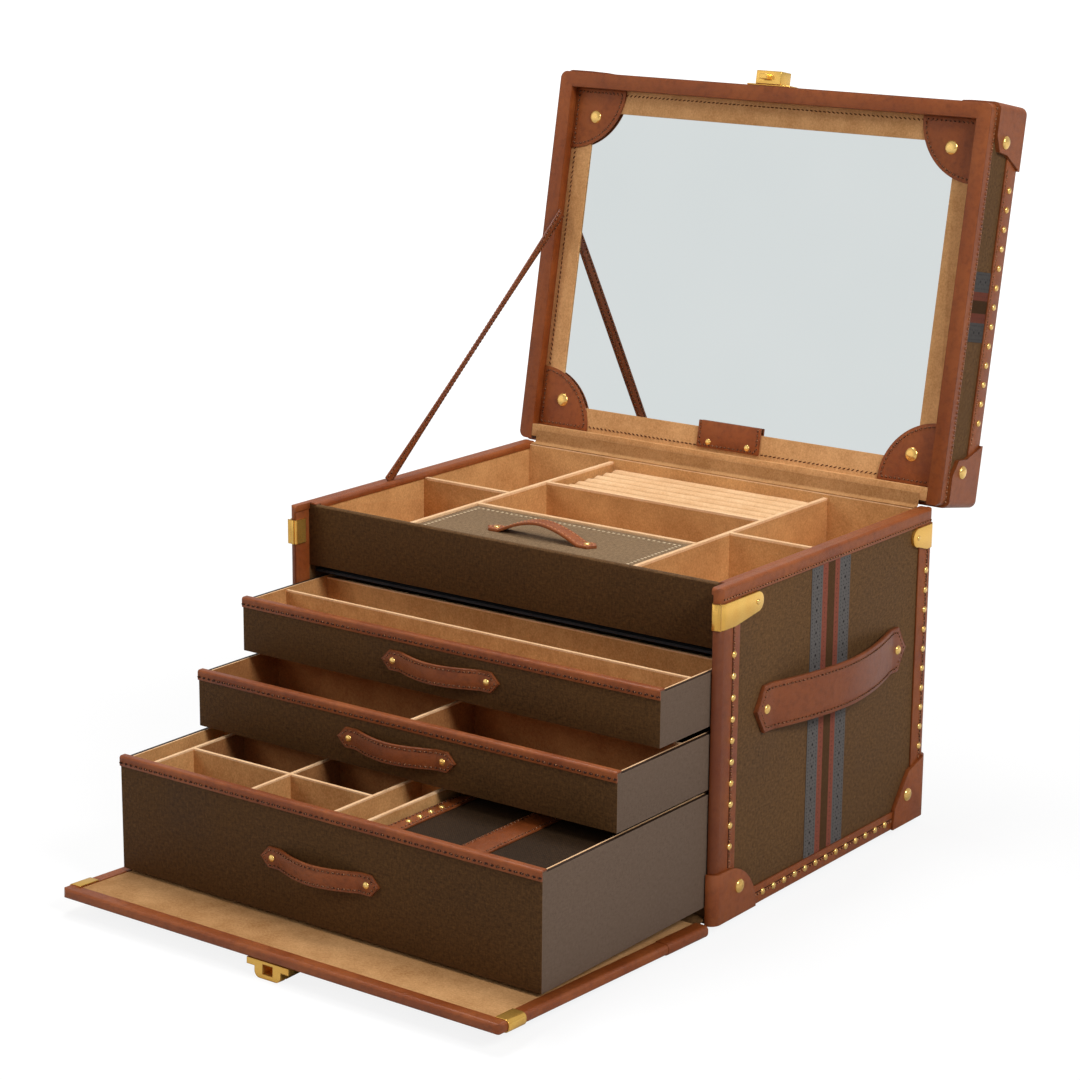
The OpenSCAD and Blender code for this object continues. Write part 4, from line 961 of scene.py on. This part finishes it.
# %% Strips across the hinges
def strip(name, line, x0, x1, thickness, columns=40):
    """A closed strip whose middle follows the line of (y, z) measures of the case."""
    line = [Vector(p) for p in line]
    fine = []
    for i in range(len(line) - 1):
        a, b, c, d = line[max(i - 1, 0)], line[i], line[i + 1], line[min(i + 2, len(line) - 1)]
        for j in range(4):
            t = j / 4
            fine.append(0.5 * (2 * b + (c - a) * t + (2 * a - 5 * b + 4 * c - d) * t * t
                               + (3 * b - 3 * c + d - a) * t ** 3))
    fine.append(line[-1])
    sides = []
    for i, p in enumerate(fine):
        along = (fine[min(i + 1, len(fine) - 1)] - fine[max(i - 1, 0)]).normalized()
        sides.append(Vector((-along[1], along[0])) * thickness / 2)
    ring = [p + s for p, s in zip(fine, sides)] + [p - s for p, s in reversed(list(zip(fine, sides)))]
    n, faces = len(ring), tube(columns, len(ring))
    vertices = [at_case(x0 + (x1 - x0) * i / columns, p[0], p[1]) for i in range(columns + 1) for p in ring]
    for first in (0, columns * n):
        faces += [(first + j, first + j + 1, first + n - 2 - j, first + n - 1 - j)
                  for j in range(len(fine) - 1)]
    length = sum((b - a).length for a, b in zip(fine, fine[1:]))
    return smooth(shown(name, faced_out(mesh_of(name, vertices, faces))), 50), length


def bridge(piece, node, finish):
    piece.data.materials.append(finish)
    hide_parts(node)
    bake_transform(piece)
    return piece


cloth_line = [(245.3, 208.45), (248.2, 208.5), (250.2, 208.7), (251.0, 209.5), (251.3, 211), (251.7, 213.2),
              (252.45, 217.0)]
lining, long = strip("hinge_suede", cloth_line, -154.4, 154.4, 0.7)
bridge(lining, "hinge_lining", suede)
print("suede over the hinge:", round(long, 1), "mm long")

# %% Leather hinge and gusset
back_line = [(251.6, 194.2), (251.6, 200), (251.7, 204.6), (252.6, 207.9), (255.0, 209.6), (259.0, 209.5),
             (265.7, 208.3)]
back, long = strip("hinge_hide", back_line, -136.4, 136.4, 1.1)
bridge(back, "hinge_leather", hide)
gusset_line = [(-0.2, 4.5), (-2.2, 3.6), (-4.6, 2.6), (-7.3, 1.0)]
gusset, long = strip("flap_gusset_cloth", gusset_line, -160, 160, 0.6)
bridge(gusset, "flap_gusset", canvas)
print("hinge leather and gusset in place; the gusset is", round(long, 1), "mm long")

# %% [markdown]
# ## Studs and rivets
# Ninety-two dome studs and thirty-four rivets hold the leather. They repeat, so Geometry
# Nodes place them: a mesh of bare points says where each sits, and two attributes say
# which way it faces and how wide and high it is. One low dome is instanced on all.


# %% Geometry Nodes kit
def growth(name, sockets):
    tree = bpy.data.node_groups.new(name, "GeometryNodeTree")
    tree.interface.new_socket("Geometry", in_out="INPUT", socket_type="NodeSocketGeometry")
    for title, kind in sockets:
        tree.interface.new_socket(title, in_out="INPUT", socket_type=kind)
    tree.interface.new_socket("Geometry", in_out="OUTPUT", socket_type="NodeSocketGeometry")
    return tree, tree.nodes.new("NodeGroupInput").outputs, tree.nodes.new("NodeGroupOutput").inputs[0]


def joint(tree, kind, inputs, out=0, **settings):
    node = tree.nodes.new(kind)
    for key, value in settings.items():
        setattr(node, key, value)
    for key, value in inputs.items():
        if isinstance(value, bpy.types.NodeSocket):
            tree.links.new(value, node.inputs[key])
        else:
            node.inputs[key].default_value = value
    return node.outputs[out]


def grown(name, mesh, tree, **values):
    """Runs the tree on a mesh of points or lines and keeps the result as a plain mesh."""
    piece = shown(name, mesh)
    modifier = piece.modifiers.new("growth", "NODES")
    modifier.node_group = tree
    for item in tree.interface.items_tree:
        if item.item_type == "SOCKET" and item.in_out == "INPUT" and item.name in values:
            modifier[item.identifier] = values[item.name]
    return settled(piece)


def dome_tree():
    tree, given, result = growth("dome_fasteners", [("Segments", "NodeSocketInt"), ("Rings", "NodeSocketInt"),
                                                    ("Finish", "NodeSocketMaterial")])
    dome = joint(tree, "GeometryNodeMeshUVSphere", {"Segments": given["Segments"], "Rings": given["Rings"],
                                                    "Radius": 0.5})
    facing = joint(tree, "GeometryNodeInputNamedAttribute", {"Name": "facing"}, data_type="FLOAT_VECTOR")
    size = joint(tree, "GeometryNodeInputNamedAttribute", {"Name": "size"}, data_type="FLOAT_VECTOR")
    turn = joint(tree, "FunctionNodeAlignRotationToVector", {"Vector": facing}, axis="Z")
    placed = joint(tree, "GeometryNodeInstanceOnPoints", {"Points": given["Geometry"], "Instance": dome,
                                                          "Rotation": turn, "Scale": size})
    real = joint(tree, "GeometryNodeRealizeInstances", {0: placed})
    soft = joint(tree, "GeometryNodeSetShadeSmooth", {0: real})
    finished = joint(tree, "GeometryNodeSetMaterial", {"Geometry": soft, "Material": given["Finish"]})
    tree.links.new(finished, result)
    return tree


domes = dome_tree()


def fasteners(name, nodes, body, spots, segments, rings, finish=None):
    """spots holds (point, direction, diameter, height), the last two in millimetres."""
    mesh = mesh_of(name, [s[0] for s in spots], [])
    facing = mesh.attributes.new("facing", "FLOAT_VECTOR", "POINT")
    facing.data.foreach_set("vector", [c for s in spots for c in s[1]])
    size = mesh.attributes.new("size", "FLOAT_VECTOR", "POINT")
    size.data.foreach_set("vector", [c * MM for s in spots for c in (s[2], s[2], 2 * s[3])])
    piece = grown(name, mesh, domes, Segments=segments, Rings=rings, Finish=finish or stud_brass)
    for node in nodes:
        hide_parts(node)
    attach(piece, body)
    print(f"{name}: {len(spots)} placed, {len(piece.data.polygons)} faces")
    return piece


# %% Studs and rivets of the case, lid and drawers
OUT = {s: Vector((s, 0, 0)) for s in (-1, 1)}
UP, FRONT = Vector((0, 0, 1)), Vector((0, -1, 0))
lid_inward = (at_lid(0, 0, -1) - at_lid(0, 0, 0)).normalized()
SIDE_X, FRONT_ROW, REAR_ROW, BAND_ROW = 166.2, 14.7, 243.6, 6    # where the studs of a side sit
UPRIGHT_STEP, BAND_STEP, LID_STEP = 13.3, 12.369, 12.7015
STUD, RIVET = (4.6, 1.4), (9, 2)    # diameter and height
stud_spots, rivet_spots, lid_stud_spots, lid_rivet_spots = [], [], [], []
for s in (-1, 1):
    for y, z in ((FRONT_ROW, 46.5), (REAR_ROW, 49.5)):
        stud_spots += [(at_case(s * SIDE_X, y, z + UPRIGHT_STEP * i), OUT[s], *STUD) for i in range(10)]
    stud_spots += [(at_case(s * SIDE_X, 53.8 + BAND_STEP * i, BAND_ROW), OUT[s], *STUD) for i in range(13)]
    rivet_spots += [(at_case(s * 167.8, y, z), OUT[s], *RIVET) for y, z in ((24.9, 18.8), (228.5, 20))]
    rivet_spots += [(at_case(s * 167.2, y, 193.3), OUT[s], 3.4, 0.9) for y in (38.5, 230.7)]
    rivet_spots += [(at_case(s * 168.2, HANDLE_Y + e * HANDLE_SPAN / 2, HANDLE_Z), OUT[s], 6.4, 1.6)
                    for e in (-1, 1)]
    lid_stud_spots += [(at_lid(s * 170, 54.7 + LID_STEP * i, 38), OUT[s], *STUD) for i in range(13)]
    lid_rivet_spots += [(at_lid(s * 171.6, u, 22), OUT[s], *RIVET) for u in (22.4, 236.8)]
    lid_rivet_spots += [(at_lid(s * 141, u, 6.8), lid_inward, 9.4, 2) for u in (30, 230)]
    lid_rivet_spots += [(at_lid(s * 15.7, 16.9, 6.4), lid_inward, 4.4, 0.9)]
fasteners("side_studs", ["case_studs"], "case", stud_spots, 12, 8)
fasteners("side_rivets", ["case_rivets"], "case", rivet_spots, 24, 14)
fasteners("lid_side_studs", ["lid_studs"], "lid", lid_stud_spots, 12, 8)
fasteners("lid_rivet_heads", ["lid_rivets"], "lid", lid_rivet_spots, 24, 14)
tray_rivets = [(at_case(TRAY_HANDLE_X + s * TRAY_HANDLE_SPAN / 2, TRAY_HANDLE_Y, 206.1), UP, 4.4, 1)
               for s in (-1, 1)]
fasteners("tray_lid_rivet_heads", ["tray_lid_rivets"], "tray_lid", tray_rivets, 20, 12)
for k, (out, level, height) in DRAWERS.items():
    spots = [(at_drawer(k)(s * 36, -2.2, height / 2 - 1), FRONT, 4.5, 1.2) for s in (-1, 1)]
    if k == 3:
        spots += [(at_drawer(3)(38.8, 33.5 + 10.3 * i, 64.8), UP, 4, 1.2) for i in range(4)]
    fasteners(f"pull_rivet_heads_{k}", [f"drawer_{k}_rivets"], f"drawer_{k}", spots, 20, 12)

# %% [markdown]
# ## Pierced ribbons
# The blue-grey bands are pierced like a brogue: two close rows of pin holes with larger
# holes between them, and the red bands have one row of pin holes. The same dome tree sets
# them as low dark dots, which paint the shade inside the holes.


# %% Pierced dots
PIN, HOLE, FINE_PIN = (0.9, 0.07), (2.0, 0.07), (0.8, 0.07)    # diameter and height of a dot
PIN_STEP, FINE_STEP, FIRST_DOT, ROW_INSET = 2.4, 3.1, 1.5, 1.7


def ribbon_dots(place, direction, start, end):
    """place(across, along) gives a point on the ribbon; across runs over its width."""
    spots = []
    for low, high in ((0, 12.5), (33, RIBBON_W)):
        for n in range(int((end - start) / PIN_STEP)):
            along, middle = start + FIRST_DOT + PIN_STEP * n, (low + high) / 2
            spots += [(place(e, along), direction, *PIN) for e in (low + ROW_INSET, high - ROW_INSET)]
            if n % 3 == 0:
                spots.append((place(middle, along), direction, *HOLE))
            else:
                spots += [(place(middle + e, along), direction, *PIN) for e in (-ROW_INSET, ROW_INSET)]
    for middle in (15.5, 29.7):
        spots += [(place(middle, start + FIRST_DOT + FINE_STEP * n), direction, *FINE_PIN)
                  for n in range(int((end - start) / FINE_STEP))]
    return spots


case_dots, lid_dots = [], []
for s in (-1, 1):
    case_dots += ribbon_dots(lambda c, a, s=s: at_case(s * 165.42, CASE_RIBBON + c, a), OUT[s], 12, 200)
    lid_dots += ribbon_dots(lambda c, a, s=s: at_lid(s * 169.22, LID_RIBBON + c, a), OUT[s], 8, 30)
fasteners("case_ribbon_holes", [], "case", case_dots, 6, 4, pierced)
fasteners("lid_ribbon_holes", [], "lid", lid_dots, 6, 4, pierced)

# %% [markdown]
# ## Stitching
# The leather is saddle-stitched, six to eight stitches to the inch. A seam is a line
# of edges; Geometry Nodes turn it into a curve, set a point every few millimetres, and
# lay one short rounded thread along the curve at each, with the small bead of leather
# that swells between two stitches. The bead is painted paler than the hide, as a painted
# highlight. The slight turn of each stitch has a fixed seed.


# %% Stitch tree
def stitch_tree():
    tree, given, result = growth("stitch_rows", [
        ("Pitch", "NodeSocketFloat"), ("Length", "NodeSocketFloat"), ("Thickness", "NodeSocketFloat"),
        ("Thread", "NodeSocketMaterial"), ("Bead", "NodeSocketFloat"), ("Swelling", "NodeSocketMaterial")])
    seam = joint(tree, "GeometryNodeMeshToCurve", {0: given["Geometry"]})
    points = tree.nodes.new("GeometryNodeCurveToPoints")
    points.mode = "LENGTH"
    tree.links.new(seam, points.inputs["Curve"])
    tree.links.new(given["Pitch"], points.inputs["Length"])
    grain = joint(tree, "GeometryNodeMeshUVSphere", {"Segments": 6, "Rings": 4, "Radius": 0.5})
    size = joint(tree, "ShaderNodeCombineXYZ",
                 {0: given["Thickness"], 1: given["Thickness"], 2: given["Length"]})
    stitch = joint(tree, "GeometryNodeTransform", {"Geometry": grain, "Scale": size})
    along = {"Points": points.outputs["Points"], "Rotation": points.outputs["Rotation"]}
    placed = joint(tree, "GeometryNodeInstanceOnPoints", {**along, "Instance": stitch})
    turn = joint(tree, "FunctionNodeRandomValue", {0: (-0.09, -0.09, 0.0), 1: (0.09, 0.09, 0.0), "Seed": 11},
                 data_type="FLOAT_VECTOR")
    loose = joint(tree, "GeometryNodeRotateInstances", {"Instances": placed, "Rotation": turn})
    dot = joint(tree, "GeometryNodeMeshUVSphere", {"Segments": 6, "Rings": 3, "Radius": 0.5})
    grown_bead = joint(tree, "ShaderNodeMath", {0: given["Bead"], 1: 1.4}, operation="MULTIPLY")
    bead_size = joint(tree, "ShaderNodeCombineXYZ", {0: given["Bead"], 1: given["Bead"], 2: grown_bead})
    beads = joint(tree, "GeometryNodeInstanceOnPoints", {**along, "Instance": dot, "Scale": bead_size})
    half = joint(tree, "ShaderNodeMath", {0: given["Pitch"], 1: 0.5}, operation="MULTIPLY")
    shift = joint(tree, "ShaderNodeCombineXYZ", {2: half})
    beads = joint(tree, "GeometryNodeTranslateInstances",
                  {"Instances": beads, "Translation": shift, "Local Space": True})
    parts = []
    for made, finish in ((loose, "Thread"), (beads, "Swelling")):
        real = joint(tree, "GeometryNodeRealizeInstances", {0: made})
        soft = joint(tree, "GeometryNodeSetShadeSmooth", {0: real})
        parts.append(joint(tree, "GeometryNodeSetMaterial",
                           {"Geometry": soft, "Material": given[finish]}))
    both = tree.nodes.new("GeometryNodeJoinGeometry")
    for part in parts:
        tree.links.new(part, both.inputs[0])
    tree.links.new(both.outputs[0], result)
    return tree


stitches = stitch_tree()


def seam_mesh(name, lines):
    vertices, edges = [], []
    for points, closed in lines:
        first = len(vertices)
        vertices += points
        edges += [(first + i, first + i + 1) for i in range(len(points) - 1)]
        if closed:
            edges.append((len(vertices) - 1, first))
    return mesh_of(name, vertices, [], edges)


NO_BEAD = 0.01
# The crease kind lays a continuous dark line in the grooves of the side edgings: painted shade.
KINDS = {  # pitch, stitch length, thickness and bead in millimetres, and the thread
    "binding": (3.2, 2.35, 1.3, 1.4, dark_thread), "frame": (3.4, 2.7, 0.9, NO_BEAD, red_thread),
    "corner": (3.3, 2.4, 1.2, 1.26, dark_thread), "strap": (3.3, 2.4, 1.2, 1.26, dark_thread),
    "drawer": (4.1, 2.95, 1.6, 1.6, dark_thread), "fine": (3.0, 1.9, 0.8, NO_BEAD, pale_thread_and_highlit_swell),
    "cross": (9.0, 2.4, 0.75, NO_BEAD, pale_thread), "crease": (1.6, 2.2, 0.8, NO_BEAD, dark_thread)}


def sewn(name, kind, lines):
    pitch, length, thickness, bead, thread = KINDS[kind]
    return grown(name, seam_mesh(name, lines), stitches, Pitch=pitch * MM, Length=length * MM,
                 Thickness=thickness * MM, Thread=thread, Bead=bead * MM, Swelling=pale_thread_and_highlit_swell)

# %% [markdown]
# ## The stay strap
# A narrow sewn strap stops the lid from falling back. It is nailed inside the case's rim
# and inside the lid's, and it twists a little between them, as a flat strap does under
# tension. Its stitches are part of the same mesh.


# %% Stay strap
STAY_FOOT = Vector((90.0, 209.2))
STAY_HEAD = Vector((252 + 161 * 0.18224 + 3.6 * 0.98325, 210.5 + 161 * 0.98325 - 3.6 * 0.18224))


def on_stay(t, across, out):
    """t runs from foot to head; across and out are millimetres from the strap's middle."""
    along = (STAY_HEAD - STAY_FOOT).normalized()
    twist = math.radians(24) * math.sin(math.pi * t) ** 0.8
    w = across * math.cos(twist) - out * math.sin(twist)
    x = -158.0 + across * math.sin(twist) + out * math.cos(twist)
    p = STAY_FOOT + (STAY_HEAD - STAY_FOOT) * t + Vector((-along[1], along[0])) * w
    return at_case(x, p[0], p[1])


def stay_strap():
    section = [(-3.9, -0.35), (-3.8, 0.35), (-3.3, 0.55), (3.3, 0.55), (3.8, 0.35), (3.9, -0.35),
               (3.3, -0.55), (-3.3, -0.55)]
    rows, n = 70, len(section)
    vertices = [on_stay(i / rows, w, d) for i in range(rows + 1) for w, d in section]
    plain = faced_out(mesh_of("stay_strap_hide", vertices, tube(rows, n) + caps(rows, n)))
    lines = [([on_stay(0.01 + 0.98 * i / 60, w, d) for i in range(61)], False)
             for w in (-2.3, 2.3) for d in (-0.58, 0.58)]
    thread = sewn("stay_strap_thread", "strap", lines)
    for face in thread.data.polygons:
        face.material_index += 1
    bm = bmesh.new()
    bm.from_mesh(plain)
    bm.from_mesh(thread.data)
    mesh = bpy.data.meshes.new("stay_strap_sewn")
    bm.to_mesh(mesh)
    bm.free()
    piece = smooth(shown("stay_strap_sewn", mesh), 50)
    piece.data.materials.append(strap_hide)
    for finish in thread.data.materials:
        piece.data.materials.append(finish)
    bpy.data.objects.remove(thread)
    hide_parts("stay_strap")
    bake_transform(piece)
    return piece


print("stay strap:", len(stay_strap().data.polygons), "faces with its stitches")

# %% Seams of the case and the lid
SIDE_SEAMS = (  # body, kind, measure and x, and the two ends of each seam on a side
    ("case", "binding", at_case, 166.3, ((3.5, 201.9), (247.5, 201.9)), ((FRONT_ROW, 34), (FRONT_ROW, 183)),
     ((REAR_ROW, 42), (REAR_ROW, 183)), ((45.5, BAND_ROW), (210, BAND_ROW))),
    ("lid", "binding", at_lid, 170.1, ((3, 6.4), (257, 6.4)), ((41, 32), (219, 32))),
    # The crease rows are dark lines in the grooves of the edgings: painted shade.
    ("case", "crease", at_case, SIDE_X, ((13.4, 34), (13.4, 183)), ((244.8, 44), (244.8, 183)),
     ((45, 7.4), (211, 7.4))))
for s in (-1, 1):
    for body, kind, place, x, *seams in SIDE_SEAMS:
        for ends in seams:
            sew(body, kind, [place(s * x, *end) for end in ends])


def mirror_frame_seam():
    x, low, high, v = 156.3, 13.7, 246.3, 7.95
    corners = ((-x, low), (x, low), (x, high), (-x, high))
    sew("lid", "frame", [at_lid(a, b, v) for a, b in corners], closed=True)


def mirror_corner_seam(s, far):
    """Round the quarter of leather in a corner of the mirror's frame, 2.6 mm inside it."""
    corner, edge = (s * 159.5, 249.5 if far else 10.5), 2.6
    away = (-s, -1 if far else 1)
    arc = [(39.4 * math.cos(t), 39.4 * math.sin(t)) for t in np.linspace(0.067, math.pi / 2 - 0.067, 25)]
    loop = [(edge, edge)] + [(a, b) for a, b in arc]
    sew("lid", "corner", [at_lid(corner[0] + away[0] * a, corner[1] + away[1] * b, 6.75) for a, b in loop],
        closed=True)


mirror_frame_seam()
for s in (-1, 1):
    for far in (False, True):
        mirror_corner_seam(s, far)
sew("lid", "corner", [at_lid(*p, 6.35) for p in ((-23, 29.6), (-23, 14.6), (23, 14.6), (23, 29.6))])

# %% Seams of the drawers, the flap and the travel case
for k, (out, level, height) in DRAWERS.items():
    spot = at_drawer(k)
    sew(f"drawer_{k}", "drawer", [spot(-159, -1.05, height - 4.4), spot(159, -1.05, height - 4.4)])
for x0, x1 in ((33.2, 44.2), (87, 106)):
    for x in (x0 + 1.6, x1 - 1.6):
        sew("drawer_3", "strap", [at_drawer(3)(x, 10, 64.85), at_drawer(3)(x, 153, 64.85)])
flap_edge = [(-160, 2), (-160, 197), (160, 197), (160, 2)]
sew("flap", "binding", [at_flap(x, u, -0.05) for x, u in flap_edge])


def crosses(place, x0, x1, y0, y1, pitch=3.8):
    """Two short crossing lines at every step round a rectangle."""
    corners = [(x0, y0), (x1, y0), (x1, y1), (x0, y1)]
    for (ax, ay), (bx, by) in zip(corners, corners[1:] + corners[:1]):
        count = round(math.hypot(bx - ax, by - ay) / pitch)
        for i in range(count):
            x, y = ax + (bx - ax) * i / count, ay + (by - ay) * i / count
            for s in (-1, 1):
                sew("tray_lid", "cross", [place(x, y), place(x + 0.05, y + s * 0.05)])


crosses(lambda x, y: at_case(x, y, 204.4), -76.2, 80.7, 24.0, 83.4)
print("seams:", sum(len(lines) for lines in threads.values()))

# %% Sew every seam
for (body, kind), lines in threads.items():
    name = f"{body}_{kind}_stitches"
    piece = sewn(name, kind, lines)
    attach(piece, body)
    print(f"{name}: {len(piece.data.polygons)} faces")

# %% [markdown]
# ## Floor and light
# The case stands on a plain pale floor in soft studio light. The lamps are set so that
# a colour renders about as it is written. The camera sees the floor and the world a
# little brighter than the lamps make them, through Light Path, so the ground looks white
# while the case keeps its shadow.


# %% Floor
def pale_floor():
    mesh = mesh_of("studio_floor", [(-30, -30, 0), (30, -30, 0), (30, 30, 0), (-30, 30, 0)], [(0, 1, 2, 3)])
    floor = shown("studio_floor", mesh)
    paint = Finish("pale_floor", 0.9, Specular_IOR_Level=0.1)
    paint.done((0.52, 0.52, 0.52, 1))
    far = paint.add("ShaderNodeVectorMath", {0: paint.place}, out="Value", operation="LENGTH")
    eye = paint.add("ShaderNodeLightPath", {}, out="Is Camera Ray")
    shine = paint.add("ShaderNodeLightPath", {}, out="Is Glossy Ray")
    share = paint.maths("MULTIPLY", eye, paint.spread(far, 0.45, 1.6, 0.72, 1.0))
    behind = paint.spread(paint.axes(paint.place)[1], 0.3, 0.8, 0.0, 0.6)
    bright = paint.maths("MAXIMUM", paint.spread(far, 0.9, 2.5, 0.0, 0.6), behind)
    share = paint.maths("MAXIMUM", share, paint.maths("MULTIPLY", shine, bright))
    glow = paint.add("ShaderNodeEmission", {"Strength": 1.2})
    seen = paint.add("ShaderNodeMixShader", {0: share, 1: paint.shader.outputs[0], 2: glow})
    paint.wire(paint.nodes["Material Output"].inputs["Surface"], seen)
    mesh.materials.append(paint.material)
    return floor


pale_floor()


# %% World and lamps
def studio_world(level):
    """A dim dome that the camera sees white. Reflections see one white wall, at the front left."""
    world = bpy.data.worlds.new("studio")
    bpy.context.scene.world = world
    world.use_nodes = True
    nodes, links = world.node_tree.nodes, world.node_tree.links

    def add(kind, *inputs, out=0, **settings):
        node = nodes.new(kind)
        for key, value in settings.items():
            setattr(node, key, value)
        for i, value in enumerate(inputs):
            if isinstance(value, bpy.types.NodeSocket):
                links.new(value, node.inputs[i])
            else:
                node.inputs[i].default_value = value
        return node.outputs[out]

    ray = nodes.new("ShaderNodeLightPath").outputs
    direction = nodes.new("ShaderNodeTexCoord").outputs["Generated"]
    toward = add("ShaderNodeVectorMath", direction, (-0.57, -0.81, 0.1), out=1, operation="DOT_PRODUCT")
    bright = add("ShaderNodeMapRange", toward, 0.72, 0.93, 0.45, 1.0)
    shine = add("ShaderNodeMath", ray["Is Glossy Ray"], bright, operation="MULTIPLY")
    seen = add("ShaderNodeMath", ray["Is Camera Ray"], ray["Is Transmission Ray"], operation="MAXIMUM")
    strength = add("ShaderNodeMath", add("ShaderNodeMath", seen, shine, operation="MAXIMUM"), level,
                   operation="MAXIMUM")
    links.new(strength, nodes["Background"].inputs["Strength"])
    nodes["Background"].inputs["Color"].default_value = (1, 1, 1, 1)


def soft_lamp(name, place, power, size, aim=(0.0, 0.0, 0.15), glossy=True):
    light = bpy.data.lights.new(name, "AREA")
    light.energy, light.shape, light.size = power, "DISK", size
    lamp = bpy.data.objects.new(name, light)
    lamp.location = place
    lamp.rotation_euler = (Vector(aim) - Vector(place)).to_track_quat("-Z", "Y").to_euler()
    lamp.visible_glossy = glossy
    bpy.context.scene.collection.objects.link(lamp)


studio_world(level=0.2)
soft_lamp("key_lamp", (2.5, -0.7, 2.1), 58, 1.1)
soft_lamp("top_lamp", (-0.4, 0.35, 2.6), 35, 1.0)
soft_lamp("left_lamp", (-1.3, -1.5, 1.1), 10, 1.0, glossy=False)
bpy.context.scene.view_settings.view_transform = "Standard"
print("studio ready")
